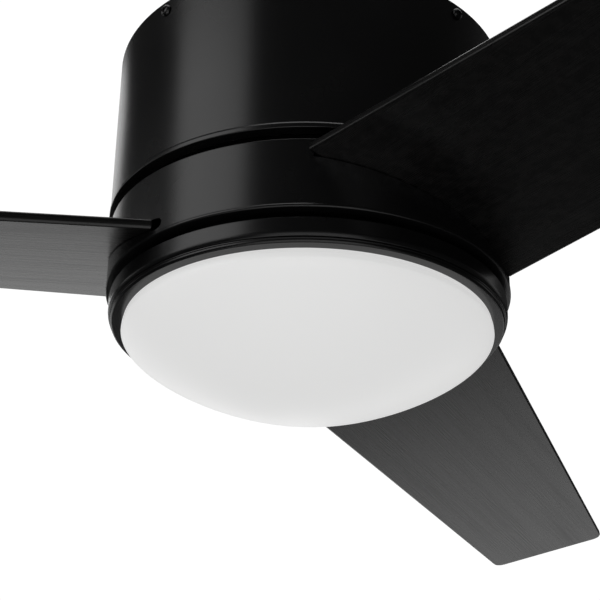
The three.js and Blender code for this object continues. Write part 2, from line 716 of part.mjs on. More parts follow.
/** The coils: an end bundle above and below the core, joined by a strand through every slot. */
function statorWinding() {
  const coreTop = MOTOR_MIDDLE + STATOR_HEIGHT / 2 + TOUCH_GAP;
  const coreBottom = MOTOR_MIDDLE - STATOR_HEIGHT / 2 - TOUCH_GAP;
  const bundle = (low, high) => {
    const corners = [
      [COIL_INNER_RADIUS, low],
      [COIL_OUTER_RADIUS, low],
      [COIL_OUTER_RADIUS, high],
      [COIL_INNER_RADIUS, high],
    ];
    return turned(corners, INNER_SEGMENTS);
  };
  const strand = block(
    [COIL_INNER_RADIUS + COIL_STRAND_INSET[0], COIL_OUTER_RADIUS - COIL_STRAND_INSET[1]],
    [-COIL_STRAND_WIDTH / 2, COIL_STRAND_WIDTH / 2],
    [coreBottom - COIL_OVERHANG / 2, coreTop + COIL_OVERHANG / 2],
  );
  const halfSlot = 180 / SLOT_COUNT;
  const strands = azimuths(SLOT_COUNT, halfSlot).map((azimuth) => turnedTo(strand, azimuth));
  const upper = bundle(coreTop, coreTop + COIL_OVERHANG);
  const lower = bundle(coreBottom - COIL_OVERHANG, coreBottom);
  return join([upper, lower, ...strands]);
}

/** The rotor's laminated ring round the stator. */
function rotorRing() {
  const half = ROTOR_RING_HEIGHT / 2;
  const low = MOTOR_MIDDLE - half;
  return ring(ROTOR_RING_INNER, ROTOR_RING_OUTER, low, low + ROTOR_RING_HEIGHT, INNER_SEGMENTS);
}

/** The motor's upper cover: a cup open below with a bearing hub. */
function upperCover() {
  const discBottom = UPPER_COVER_TOP - COVER_WALL;
  const corners = [
    [HUB_INNER, UPPER_COVER_TOP - HUB_DEPTH],
    [HUB_INNER + HUB_WALL, UPPER_COVER_TOP - HUB_DEPTH],
    [HUB_INNER + HUB_WALL, discBottom],
    [WALL_INNER, discBottom],
    [WALL_INNER, COVER_FLANGE_TOP + TOUCH_GAP],
    [WALL_OUTER, COVER_FLANGE_TOP + TOUCH_GAP],
    [WALL_OUTER, UPPER_COVER_TOP],
    [HUB_INNER, UPPER_COVER_TOP],
  ];
  return turned(corners, INNER_SEGMENTS);
}

/** A vertical hole for an M4 screw at [x, y], between two heights. */
function m4Hole([x, y], low, high) {
  return rod(M4_RADIUS + SCREW_PLAY, low, high, SCREW_SEGMENTS).translate(x, y, 0);
}

const bladeAzimuths = azimuths(BLADE_COUNT, FIRST_BLADE_AZIMUTH);
const drumScrewAzimuths = azimuths(DRUM_SCREW_COUNT, DRUM_SCREW_AZIMUTH);

/** The motor's lower cover, with the flange that carries the blade arms. */
function lowerCover() {
  const discTop = LOWER_COVER_BOTTOM + COVER_WALL;
  const flangeBottom = COVER_FLANGE_TOP - COVER_FLANGE_THICKNESS;
  const corners = [
    [HUB_INNER, LOWER_COVER_BOTTOM],
    [WALL_OUTER, LOWER_COVER_BOTTOM],
    [WALL_OUTER, flangeBottom],
    [COVER_FLANGE_RADIUS, flangeBottom],
    [COVER_FLANGE_RADIUS, COVER_FLANGE_TOP],
    [WALL_INNER, COVER_FLANGE_TOP],
    [WALL_INNER, discTop],
    [HUB_INNER + HUB_WALL, discTop],
    [HUB_INNER + HUB_WALL, LOWER_COVER_BOTTOM + HUB_DEPTH],
    [HUB_INNER, LOWER_COVER_BOTTOM + HUB_DEPTH],
  ];
  const armHoles = bladeAzimuths.flatMap((azimuth) =>
    ARM_SCREW_PLACES.map((place) =>
      turnedTo(m4Hole(place, flangeBottom - CUT_MARGIN, COVER_FLANGE_TOP + CUT_MARGIN), azimuth),
    ),
  );
  const drumHoles = drumScrewAzimuths.map((azimuth) =>
    turnedTo(m4Hole([DRUM_SCREW_RING, 0], LOWER_COVER_BOTTOM - CUT_MARGIN, discTop + CUT_MARGIN), azimuth),
  );
  return cut(turned(corners, INNER_SEGMENTS), [...armHoles, ...drumHoles]);
}

/** The balls of one bearing in their cage ring. */
function ballCage(middle) {
  const band = ring(
    BALL_PITCH_RADIUS - CAGE_HALF_WIDTH,
    BALL_PITCH_RADIUS + CAGE_HALF_WIDTH,
    middle - CAGE_HALF_HEIGHT,
    middle + CAGE_HALF_HEIGHT,
    SMALL_SEGMENTS,
  );
  const ball = new THREE.SphereGeometry(BALL_RADIUS, 6, 4).translate(BALL_PITCH_RADIUS, 0, middle);
  return join([band, ...azimuths(BALL_COUNT, 0).map((azimuth) => turnedTo(ball, azimuth))]);
}

piece("stator_core", statorCore(), motorSteel());
piece("stator_winding", statorWinding(), copper());
piece("rotor_ring", rotorRing(), motorSteel());
piece("rotor_upper_cover", upperCover(), castAluminium());
piece("rotor_lower_cover", lowerCover(), castAluminium());
[
  ["upper", UPPER_COVER_TOP - TOUCH_GAP - BEARING_WIDTH],
  ["lower", LOWER_COVER_BOTTOM + TOUCH_GAP],
].forEach(([end, low]) => {
  const high = low + BEARING_WIDTH;
  const inner = ring(INNER_RACE_START, INNER_RACE_END, low, high, SMALL_SEGMENTS);
  const outer = ring(OUTER_RACE_START, OUTER_RACE_END, low, high, INNER_SEGMENTS);
  piece(`${end}_bearing_inner_race`, inner, bearingSteel());
  piece(`${end}_bearing_outer_race`, outer, bearingSteel());
  piece(`${end}_bearing_balls`, ballCage((low + high) / 2), bearingSteel());
});

// ---------- blades, arms and drum ----------

/** Moves a geometry drawn flat along +X into the pitched plane of the blade at an azimuth. */
function pitched(geometry, azimuth) {
  return turnedTo(geometry.clone().rotateX(PITCH_RADIANS).translate(0, 0, BLADE_UNDERSIDE), azimuth);
}

/** The [x, y] corner where a blade's edge meets the end that crosses its middle line at x. */
function bladeCorner(x, offset, slope) {
  const start = (x - END_SKEW * offset) / (1 + END_SKEW * slope);
  return [start, offset + slope * start];
}

/** Holes across the blade's plane for its screws. */
function bladeHoles() {
  const through = ARM_THICKNESS + BLADE_THICKNESS + CUT_MARGIN;
  return BLADE_SCREW_PLACES.map((place) => m4Hole(place, -CUT_MARGIN, through));
}

/** One tapered blade, drawn flat. */
function bladeBoard() {
  const outline = roundedOutline(
    [
      bladeCorner(BLADE_ROOT, LEADING_OFFSET, LEADING_SLOPE),
      bladeCorner(BLADE_TIP, LEADING_OFFSET, LEADING_SLOPE),
      bladeCorner(BLADE_TIP, TRAILING_OFFSET, TRAILING_SLOPE),
      bladeCorner(BLADE_ROOT, TRAILING_OFFSET, TRAILING_SLOPE),
    ],
    [ROOT_CORNER, TIP_CORNER, TIP_CORNER, ROOT_CORNER],
  );
  return cut(plate(outline, 0, BLADE_THICKNESS), bladeHoles());
}

/** One blade arm: a level foot on the rotor's flange and a pitched plate on the blade's root. */
function bladeArm(azimuth) {
  const footLow = COVER_FLANGE_TOP + TOUCH_GAP;
  const footHigh = footLow + ARM_THICKNESS;
  const foot = block(
    [ARM_FOOT_START, ARM_PLATE_START + ARM_OVERLAP],
    [-ARM_FOOT_HALF_WIDTH, ARM_FOOT_HALF_WIDTH],
    [footLow, footHigh],
  );
  const footHoles = ARM_SCREW_PLACES.map((place) =>
    m4Hole(place, footLow - CUT_MARGIN, footHigh + CUT_MARGIN),
  );
  const plateLow = BLADE_THICKNESS + TOUCH_GAP;
  const topPlate = block(
    [ARM_PLATE_START, ARM_PLATE_END],
    [-ARM_PLATE_HALF_WIDTH, ARM_PLATE_HALF_WIDTH],
    [plateLow, plateLow + ARM_THICKNESS],
  );
  const topHoles = BLADE_SCREW_PLACES.map((place) => m4Hole(place, 0, plateLow + ARM_THICKNESS + CUT_MARGIN));
  return join([turnedTo(cut(foot, footHoles), azimuth), pitched(cut(topPlate, topHoles), azimuth)]);
}

/** A blade screw, from below the blade up through the arm. */
function bladeScrew([x, y], azimuth) {
  const length = BLADE_THICKNESS + ARM_THICKNESS + 3 * TOUCH_GAP + SCREW_END;
  const screw = panScrew(M4_RADIUS, length, M4_HEAD_RADIUS, M4_HEAD);
  return pitched(screw.translate(x, y, -TOUCH_GAP), azimuth);
}

/** An arm screw, from above down through the foot and the flange. */
function armScrew([x, y], azimuth) {
  const length = ARM_THICKNESS + COVER_FLANGE_THICKNESS + 2 * TOUCH_GAP + SCREW_END;
  const top = COVER_FLANGE_TOP + ARM_THICKNESS + 2 * TOUCH_GAP;
  const screw = panScrew(M4_RADIUS, length, M4_HEAD_RADIUS, M4_HEAD);
  return turnedTo(screw.rotateX(Math.PI).translate(x, y, top), azimuth);
}

/** The cutting body of one blade slot in the drum's wall. */
function slotCutter(azimuth) {
  const inner = BLADE_ROOT - SLOT_DEPTH;
  const [rootStart, rootOffset] = bladeCorner(BLADE_ROOT, LEADING_OFFSET, LEADING_SLOPE);
  const wallCrossing = Math.sqrt(DRUM_RADIUS ** 2 - rootStart ** 2) / Math.cos(PITCH_RADIANS);
  const rootHigh = Math.max(-wallCrossing, rootOffset) - SLOT_LEADING_CLEARANCE;
  const rootLow = TRAILING_OFFSET + TRAILING_SLOPE * BLADE_ROOT + SLOT_TRAILING_CLEARANCE;
  const outline = roundedOutline(
    [
      [rootHigh, -SLOT_CLEARANCE],
      [rootLow, -SLOT_CLEARANCE],
      [rootLow, BLADE_THICKNESS + SLOT_CLEARANCE],
      [rootHigh, BLADE_THICKNESS + SLOT_CLEARANCE],
    ],
    [SLOT_LEADING_CORNER, SLOT_TRAILING_CORNER, SLOT_TRAILING_CORNER, SLOT_LEADING_CORNER],
  );
  const along = plate(outline, inner, DRUM_RADIUS + CUT_MARGIN);
  along.rotateX(Math.PI / 2).rotateZ(Math.PI / 2);
  return pitched(along, azimuth);
}

/** The turning drum: a spun cup with a neck that rises into the housing and a slot for each blade. */
function drumShell() {
  const inner = DRUM_RADIUS - SHELL_THICKNESS;
  const corners = [
    [DRUM_FLOOR_HOLE, DRUM_BOTTOM],
    [DRUM_RADIUS, DRUM_BOTTOM],
    [DRUM_RADIUS, DRUM_TOP],
    [DRUM_NECK_RADIUS, DRUM_TOP],
    [DRUM_NECK_RADIUS, DRUM_TOP + DRUM_NECK_HEIGHT],
    [DRUM_NECK_RADIUS - SHELL_THICKNESS, DRUM_TOP + DRUM_NECK_HEIGHT],
    [DRUM_NECK_RADIUS - SHELL_THICKNESS, DRUM_TOP - SHELL_THICKNESS],
    [inner, DRUM_TOP - SHELL_THICKNESS],
    [inner, DRUM_BOTTOM + SHELL_THICKNESS],
    [DRUM_FLOOR_HOLE, DRUM_BOTTOM + SHELL_THICKNESS],
  ];
  const floorTop = DRUM_BOTTOM + SHELL_THICKNESS;
  const screwHoles = drumScrewAzimuths.map((azimuth) =>
    turnedTo(m4Hole([DRUM_SCREW_RING, 0], DRUM_BOTTOM - CUT_MARGIN, floorTop + CUT_MARGIN), azimuth),
  );
  return cut(turned(corners, SHELL_SEGMENTS), [...bladeAzimuths.map(slotCutter), ...screwHoles]);
}

/** A drum screw, from below through the floor into the lower cover. */
function drumScrew(azimuth) {
  const low = DRUM_BOTTOM - TOUCH_GAP;
  const length = LOWER_COVER_BOTTOM + COVER_WALL + SCREW_END - low;
  const screw = panScrew(M4_RADIUS, length, M4_HEAD_RADIUS, DRUM_SCREW_HEAD);
  return turnedTo(screw.translate(DRUM_SCREW_RING, 0, low), azimuth);
}

piece("drum_shell", drumShell(), blackPaint());
drumScrewAzimuths.forEach((azimuth, index) => {
  piece(`drum_screw_${index + 1}`, drumScrew(azimuth), blackPaint());
});
bladeAzimuths.forEach((azimuth, index) => {
  const number = index + 1;
  piece(`blade_${number}`, pitched(bladeBoard(), azimuth), bladeBlack());
  piece(`blade_arm_${number}`, bladeArm(azimuth), zincSteel());
  BLADE_SCREW_PLACES.forEach((place, screw) => {
    piece(`blade_${number}_screw_${screw + 1}`, bladeScrew(place, azimuth), blackPaint());
  });
  ARM_SCREW_PLACES.forEach((place, screw) => {
    piece(`arm_${number}_screw_${screw + 1}`, armScrew(place, azimuth), zincSteel());
  });
});

// ---------- light kit ----------

/** The light pan: a spun black pan whose side is the band above the bezel. */
function lightPan() {
  const bore = SHAFT_RADIUS + TOUCH_GAP;
  const inner = LIGHT_RADIUS - SHELL_THICKNESS;
  const corners = [
    [bore, PAN_FLOOR],
    [inner, PAN_FLOOR],
    [inner, PAN_BOTTOM + PAN_CURL_HEIGHT],
    [inner - PAN_CURL_INNER, PAN_BOTTOM],
    [LIGHT_RADIUS - PAN_CURL_FOOT, PAN_BOTTOM],
    [LIGHT_RADIUS - PAN_CURL_MIDDLE[0], PAN_BOTTOM + PAN_CURL_MIDDLE[1]],
    [LIGHT_RADIUS, PAN_BOTTOM + PAN_CURL_HEIGHT],
    [LIGHT_RADIUS, PAN_FLOOR],
    [inner, PAN_TOP],
    [PAN_NECK_RADIUS, PAN_TOP],
    [PAN_NECK_RADIUS, PAN_TOP + PAN_NECK_HEIGHT],
    [PAN_NECK_RADIUS - SHELL_THICKNESS, PAN_TOP + PAN_NECK_HEIGHT],
    [PAN_NECK_RADIUS - SHELL_THICKNESS, PAN_TOP],
    [bore, PAN_TOP],
  ];
  return turned(corners, SHELL_SEGMENTS);
}

/** A sector of a ring about +Z. */
function ringSector(inner, outer, low, high, middle, angle) {
  const start = THREE.MathUtils.degToRad(middle - angle / 2);
  const end = THREE.MathUtils.degToRad(middle + angle / 2);
  const outline = new THREE.Shape();
  outline.absarc(0, 0, outer, start, end, false);
  outline.absarc(0, 0, inner, end, start, true);
  outline.closePath();
  return plate(outline, low, high);
}

const lockAzimuths = azimuths(LOCK_COUNT, LOCK_AZIMUTH);

/** The bezel ring: a collar inside the pan and a rounded lip round the lens. */
function bezelRing() {
  const lipTop = LENS_RIM + BEZEL_LIP_HEIGHT;
  const collarTop = LENS_RIM + BEZEL_COLLAR_RISE;
  const rounding = BEZEL_ROUNDING.map(([back, rise]) => [LIGHT_RADIUS - back, LENS_RIM + rise]);
  const corners = [
    [BEZEL_BORE, LENS_RIM],
    ...rounding,
    [LIGHT_RADIUS - BEZEL_TOP_STEP, BEZEL_TOP],
    [BEZEL_COLLAR_OUTER, BEZEL_TOP],
    [BEZEL_COLLAR_OUTER, collarTop],
    [BEZEL_COLLAR_INNER, collarTop],
    [BEZEL_COLLAR_INNER, lipTop],
    [BEZEL_BORE, lipTop],
  ];
  return turned(corners, SHELL_SEGMENTS);
}

/** The opal lens: a shallow bowl with a collar and inward tabs that hook over the tray's lugs. */
function domeLens() {
  const outer = LENS_PROFILE.map(([share, depth]) => [share * LENS_RIM_RADIUS, LENS_RIM - depth]);
  const inner = LENS_PROFILE.filter((_, index) => index % 2 === 0).map(([share, depth]) => [
    share * LENS_COLLAR_INNER,
    LENS_RIM - Math.max(depth - LENS_THICKNESS, 0),
  ]);
  const collarOuter = LENS_RIM_RADIUS - LENS_COLLAR_EASE;
  const corners = [
    ...outer,
    [collarOuter, LENS_RIM - LENS_SHOULDER],
    [collarOuter, LENS_COLLAR_TOP],
    [LENS_COLLAR_INNER, LENS_COLLAR_TOP],
    ...inner.reverse(),
  ];
  const tabs = lockAzimuths.map((azimuth) =>
    ringSector(
      LENS_COLLAR_INNER - TAB_REACH,
      LENS_COLLAR_INNER + LOCK_ROOT,
      TAB_BOTTOM,
      LENS_COLLAR_TOP,
      azimuth,
      TAB_ANGLE,
    ),
  );
  return join([turned(corners, SHELL_SEGMENTS), ...tabs]);
}

/** The white tray that carries the light's board, with the lugs that hold the lens. */
function ledTray() {
  const wallInner = TRAY_RADIUS - TRAY_THICKNESS;
  const wallTop = PAN_FLOOR - TOUCH_GAP;
  const corners = [
    [0, TRAY_BOTTOM],
    [TRAY_RADIUS, TRAY_BOTTOM],
    [TRAY_RADIUS, wallTop],
    [wallInner, wallTop],
    [wallInner, TRAY_BOTTOM + TRAY_THICKNESS],
    [0, TRAY_BOTTOM + TRAY_THICKNESS],
  ];
  const lugs = lockAzimuths.map((azimuth) =>
    ringSector(
      TRAY_RADIUS - LOCK_ROOT,
      TRAY_RADIUS + LUG_REACH,
      LUG_TOP - LUG_HEIGHT,
      LUG_TOP,
      azimuth,
      LUG_ANGLE,
    ),
  );
  return join([turned(corners, SHELL_SEGMENTS), ...lugs]);
}

/** The light's circuit board with its light-emitting chips. */
function ledBoard() {
  const top = TRAY_BOTTOM - TOUCH_GAP;
  const bottom = top - LED_BOARD_THICKNESS;
  const chips = LED_RINGS.flatMap(([count, share]) => {
    const radius = share * LED_BOARD_RADIUS;
    const chip = block(
      [radius - LED_SIDE / 2, radius + LED_SIDE / 2],
      [-LED_SIDE / 2, LED_SIDE / 2],
      [bottom - LED_HEIGHT, bottom + LED_BOARD_THICKNESS / 2],
    );
    return azimuths(count, 0).map((azimuth) => turnedTo(chip, azimuth));
  });
  return join([rod(LED_BOARD_RADIUS, bottom, top, INNER_SEGMENTS), ...chips]);
}

/** A box-shaped electrical piece hung under a surface. */
function hungBox([length, width, height], ceiling, offset, azimuth) {
  const top = ceiling - TOUCH_GAP;
  const box = block([offset - width / 2, offset + width / 2], [-length / 2, length / 2], [top - height, top]);
  return turnedTo(box, azimuth);
}

/** The sleeved wires from the terminal block through the shaft's bore to the light's driver. */
function lightHarness() {
  const driverEnd = DRIVER_START - TOUCH_GAP;
  const terminalEnd = TERMINAL_OFFSET - TERMINAL_SIZE[1] / 2 - TOUCH_GAP;
  const turnHeight = SHAFT_END - HARNESS_RADIUS - HARNESS_FOOT_GAP;
  const path = new THREE.CatmullRomCurve3(
    [
      new THREE.Vector3(0, terminalEnd, PLATE_UNDERSIDE - 9),
      new THREE.Vector3(0, terminalEnd - 24, PLATE_UNDERSIDE - 14),
      new THREE.Vector3(0, 8, SHAFT_TOP + 22),
      new THREE.Vector3(0, 0, SHAFT_TOP + 4),
      new THREE.Vector3(0, 0, SHAFT_TOP - 20),
      new THREE.Vector3(0, 0, SHAFT_END + 12),
      new THREE.Vector3(1.6, 0, SHAFT_END - 0.6),
      new THREE.Vector3(8, 0, turnHeight),
      new THREE.Vector3(driverEnd, 0, turnHeight),
    ],
    false,
    "centripetal",
  );
  const section = new THREE.Shape();
  section.absarc(0, 0, HARNESS_RADIUS, 0, 2 * Math.PI, false);
  return new THREE.ExtrudeGeometry(section, {
    steps: 24,
    extrudePath: path,
    curveSegments: 4,
    bevelEnabled: false,
  });
}

piece("light_pan", lightPan(), blackPaint());
piece("light_nut", shaftNut(LIGHT_NUT_BOTTOM, LIGHT_NUT_HEIGHT), zincSteel());
piece("bezel_ring", bezelRing(), blackPaint());
piece("dome_lens", domeLens(), opalPlastic());
piece("led_tray", ledTray(), whitePaint());
piece("led_board", ledBoard(), circuitBoard());
piece(
  "led_driver",
  hungBox(
    [DRIVER_SECTION[0], DRIVER_END - DRIVER_START, DRIVER_SECTION[1]],
    PAN_FLOOR,
    (DRIVER_START + DRIVER_END) / 2,
    0,
  ),
  darkPlastic(),
);
piece(
  "terminal_block",
  hungBox(TERMINAL_SIZE, PLATE_UNDERSIDE, TERMINAL_OFFSET, TERMINAL_AZIMUTH),
  darkPlastic(),
);
piece(
  "run_capacitor",
  hungBox(CAPACITOR_SIZE, PLATE_UNDERSIDE, CAPACITOR_OFFSET, CAPACITOR_AZIMUTH),
  darkPlastic(),
);
piece("light_harness", lightHarness(), sleeveRubber());

export default group;
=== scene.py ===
"""Flush ceiling fan with a light: the detailed visual model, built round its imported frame.

Lengths are metres. The fan hangs below the origin, which lies on the ceiling at its axis.
"""

import logging
import math
from collections.abc import Iterable, Sequence
from dataclasses import dataclass, field
from enum import Enum

import bmesh
import bpy
from bmesh.types import BMesh
from bpy.types import Material, Node, NodeSocket, NodeTree, Object
from mathutils import Matrix, Vector


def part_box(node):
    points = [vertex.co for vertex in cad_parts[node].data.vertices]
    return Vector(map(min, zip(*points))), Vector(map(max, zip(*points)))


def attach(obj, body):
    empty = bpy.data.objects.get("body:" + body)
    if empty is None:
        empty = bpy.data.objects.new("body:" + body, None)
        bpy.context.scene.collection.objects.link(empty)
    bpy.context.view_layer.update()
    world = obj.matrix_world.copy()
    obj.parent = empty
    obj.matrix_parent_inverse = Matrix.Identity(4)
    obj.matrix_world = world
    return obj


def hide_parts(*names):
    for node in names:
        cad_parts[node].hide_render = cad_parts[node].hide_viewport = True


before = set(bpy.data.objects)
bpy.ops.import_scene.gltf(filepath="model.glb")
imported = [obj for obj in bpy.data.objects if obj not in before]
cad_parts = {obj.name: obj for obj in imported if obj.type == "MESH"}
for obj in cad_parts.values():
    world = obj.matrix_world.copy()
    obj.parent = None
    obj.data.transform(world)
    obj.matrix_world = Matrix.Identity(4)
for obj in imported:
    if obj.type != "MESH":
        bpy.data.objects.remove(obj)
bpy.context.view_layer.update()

MM = 0.001
UP = Vector((0.0, 0.0, 1.0))

# How far a cutting tool reaches past the faces that it cuts.
OVERCUT = 4.0 * MM

# How far the roundings of fine, cut, rolled, soft and bent edges reach.
FINE_EDGE = 0.2 * MM
CUT_EDGE = 0.3 * MM
ROLLED_EDGE = 0.4 * MM
SOFT_EDGE = 0.5 * MM
BENT_EDGE = 1.0 * MM

# A hexagon head's roundings, as shares of its radius.
HEXAGON_CORNER = 0.04
HEXAGON_ARRIS = 0.07

LOG = logging.getLogger("ceiling_fan")

Colour = tuple[float, float, float]
Point2 = tuple[float, float]
Point3 = tuple[float, float, float]


class Slot(Enum):
    """The record's material slots."""

    SATIN_BLACK = "satin_black"
    BLADE_BLACK = "blade_black"
    ZINC_STEEL = "zinc_steel"
    MOTOR_STEEL = "motor_steel"
    COIL_COPPER = "coil_copper"
    CAST_ALUMINIUM = "cast_aluminium"
    BEARING_STEEL = "bearing_steel"
    OPAL_LENS = "opal_lens"
    WHITE_TRAY = "white_tray"
    LIGHT_BOARD = "light_board"
    DARK_PLASTIC = "dark_plastic"
    SLEEVE_RUBBER = "sleeve_rubber"


class Body(Enum):
    """The bodies that pieces ride on."""

    FIXED = "fixed"
    ROTOR = "rotor"
    UPPER_BALLS = "upper_balls"
    LOWER_BALLS = "lower_balls"
    LENS = "lens"


class Steps(Enum):
    """How finely a round piece is turned."""

    SHELL = 288
    INNER = 128
    SMALL = 48
    SCREW = 24


class Join(Enum):
    """How one solid is combined with another."""

    CUT = "DIFFERENCE"
    WELD = "UNION"


# ---------- shader wiring ----------


class Wiring:
    """Adds nodes to one material or group and links them."""

    def __init__(self, tree: NodeTree) -> None:
        """Starts with an empty tree.

        Args:
            tree: The node tree of a material, a group or the world.
        """
        self.tree = tree
        self.tree.nodes.clear()

    def node(self, kind: str, inputs: dict[str | int, object] | None = None, **settings: object) -> Node:
        """Adds a node.

        Args:
            kind: The node's type name, without the ShaderNode prefix.
            inputs: Values or sockets for its inputs, by name or place.
            settings: Properties of the node.

        Returns:
            The new node.
        """
        prefix = "" if kind.startswith("NodeGroup") else "ShaderNode"
        made = self.tree.nodes.new(prefix + kind)
        for key, value in settings.items():
            setattr(made, key, value)
        for key, value in (inputs or {}).items():
            if isinstance(value, NodeSocket):
                self.tree.links.new(value, made.inputs[key])
            else:
                made.inputs[key].default_value = value
        return made

    def group(self, tree: NodeTree, inputs: dict[str | int, object]) -> Node:
        """Adds a shared group with its own values.

        Args:
            tree: The group's tree.
            inputs: Values or sockets for its inputs, by name.

        Returns:
            The new group node.
        """
        made = self.tree.nodes.new("ShaderNodeGroup")
        made.node_tree = tree
        for key, value in inputs.items():
            if isinstance(value, NodeSocket):
                self.tree.links.new(value, made.inputs[key])
            else:
                made.inputs[key].default_value = value
        return made

    def math(self, operation: str, first: object, second: object = 0.0) -> NodeSocket:
        """Combines two numbers.

        Args:
            operation: The Math node's operation.
            first: A value or socket.
            second: A value or socket.

        Returns:
            The result's socket.
        """
        made = self.node("Math", {0: first, 1: second}, operation=operation)
        return made.outputs[0]

    def ramp(
        self, mask: NodeSocket, low: float, high: float, start: float = 0.0, end: float = 1.0
    ) -> NodeSocket:
        """Maps a value from one range to another, clamped.

        Args:
            mask: The value.
            low: Where the ramp starts.
            high: Where the ramp ends.
            start: The result at low.
            end: The result at high.

        Returns:
            The result's socket.
        """
        inputs = {"Value": mask, "From Min": low, "From Max": high, "To Min": start, "To Max": end}
        return self.node("MapRange", inputs).outputs[0]

    def blend(self, mask: NodeSocket, first: object, second: object) -> NodeSocket:
        """Mixes two colours by a mask.

        Args:
            mask: How much of the second colour shows.
            first: A colour or socket.
            second: A colour or socket.

        Returns:
            The mixed colour's socket.
        """
        made = self.node("Mix", data_type="RGBA")
        self.tree.links.new(mask, made.inputs["Factor"])
        for socket, value in ((made.inputs[6], first), (made.inputs[7], second)):
            if isinstance(value, NodeSocket):
                self.tree.links.new(value, socket)
            else:
                socket.default_value = (*value, 1.0)
        return made.outputs[2]

    def noise(
        self, vector: NodeSocket, scale: float, detail: float = 3.0, rough: float = 0.55
    ) -> NodeSocket:
        """A noise value over a vector."""
        inputs = {"Vector": vector, "Scale": scale, "Detail": detail, "Roughness": rough}
        return self.node("TexNoise", inputs).outputs[0]


def group_tree(name: str, inputs: dict[str, float], outputs: dict[str, str]) -> NodeTree:
    """Makes an empty shader group with its sockets.

    Args:
        name: The group's name.
        inputs: Each number input and its default.
        outputs: Each output and its socket type.

    Returns:
        The group's tree.
    """
    tree = bpy.data.node_groups.new(name, "ShaderNodeTree")
    tree.interface.new_socket("Vector", in_out="INPUT", socket_type="NodeSocketVector")
    for socket, value in inputs.items():
        made = tree.interface.new_socket(socket, in_out="INPUT", socket_type="NodeSocketFloat")
        made.default_value = value
    for socket, kind in outputs.items():
        tree.interface.new_socket(socket, in_out="OUTPUT", socket_type=kind)
    return tree


class SurfaceEffects:
    """The shader groups that several finishes share."""

    def __init__(self) -> None:
        """Builds each group once."""
        self.peel = self._peel()
        self.wear = self._wear()
        self.dust = self._dust()
        self.lathe_marks = self._lathe_marks()

    @staticmethod
    def _peel() -> NodeTree:
        """The fine pebbling and soft clouding of sprayed paint.

        Returns:
            The group's tree, which gives a height and a cloud value.
        """
        tree = group_tree(
            "paint_peel",
            {"Pebble Scale": 900.0, "Cloud Scale": 9.0},
            {"Height": "NodeSocketFloat", "Cloud": "NodeSocketFloat"},
        )
        wiring = Wiring(tree)
        ports = wiring.node("NodeGroupInput").outputs
        pebble = wiring.node("TexNoise", {"Vector": ports["Vector"], "Detail": 2.0, "Roughness": 0.5})
        cloud = wiring.node("TexNoise", {"Vector": ports["Vector"], "Detail": 4.0, "Roughness": 0.6})
        tree.links.new(ports["Pebble Scale"], pebble.inputs["Scale"])
        tree.links.new(ports["Cloud Scale"], cloud.inputs["Scale"])
        ends = wiring.node("NodeGroupOutput").inputs
        tree.links.new(pebble.outputs[0], ends["Height"])
        tree.links.new(wiring.ramp(cloud.outputs[0], 0.3, 0.7), ends["Cloud"])
        return tree

    @staticmethod
    def _wear() -> NodeTree:
        """A mask of rubbed edges, broken up by noise.

        Returns:
            The group's tree, which gives a mask.
        """
        tree = group_tree(
            "edge_wear",
            {"Start": 0.53, "Reach": 0.06},
            {"Mask": "NodeSocketFloat"},
        )
        wiring = Wiring(tree)
        ports = wiring.node("NodeGroupInput").outputs
        point = wiring.node("NewGeometry").outputs["Pointiness"]
        above = wiring.math("SUBTRACT", point, ports["Start"])
        sharp = wiring.math("DIVIDE", above, ports["Reach"])
        patch = wiring.ramp(wiring.noise(ports["Vector"], 160.0), 0.42, 0.62)
        mask = wiring.math("MULTIPLY", wiring.ramp(sharp, 0.0, 1.0), patch)
        tree.links.new(mask, wiring.node("NodeGroupOutput").inputs["Mask"])
        return tree

    @staticmethod
    def _dust() -> NodeTree:
        """A mask of thin dust that lies on faces that look up.

        Returns:
            The group's tree, which gives a mask.
        """
        tree = group_tree("settled_dust", {"Amount": 0.3}, {"Mask": "NodeSocketFloat"})
        wiring = Wiring(tree)
        ports = wiring.node("NodeGroupInput").outputs
        normal = wiring.node("NewGeometry").outputs["Normal"]
        upward = wiring.node("SeparateXYZ", {0: normal}).outputs["Z"]
        facing = wiring.ramp(upward, 0.6, 1.0)
        patch = wiring.ramp(wiring.noise(ports["Vector"], 38.0, 5.0), 0.35, 0.75)
        mask = wiring.math("MULTIPLY", wiring.math("MULTIPLY", facing, patch), ports["Amount"])
        tree.links.new(mask, wiring.node("NodeGroupOutput").inputs["Mask"])
        return tree

    @staticmethod
    def _lathe_marks() -> NodeTree:
        """Fine rings round the fan's axis, as a lathe leaves.

        Returns:
            The group's tree, which gives a height.
        """
        tree = group_tree("lathe_marks", {"Pitch": 5200.0}, {"Height": "NodeSocketFloat"})
        wiring = Wiring(tree)
        ports = wiring.node("NodeGroupInput").outputs
        parts = wiring.node("SeparateXYZ", {0: ports["Vector"]}).outputs
        flat = wiring.node("CombineXYZ", {0: parts["X"], 1: parts["Y"]}).outputs[0]
        radius = wiring.node("VectorMath", {0: flat}, operation="LENGTH").outputs["Value"]
        across = wiring.math("ADD", radius, parts["Z"])
        where = wiring.math("MULTIPLY", across, ports["Pitch"])
        inputs = {"Scale": 1.0, "Detail": 3.0, "Roughness": 0.7}
        rings = wiring.node("TexNoise", inputs, noise_dimensions="1D")
        tree.links.new(where, rings.inputs["W"])
        tree.links.new(rings.outputs[0], wiring.node("NodeGroupOutput").inputs["Height"])
        return tree


EFFECTS = SurfaceEffects()


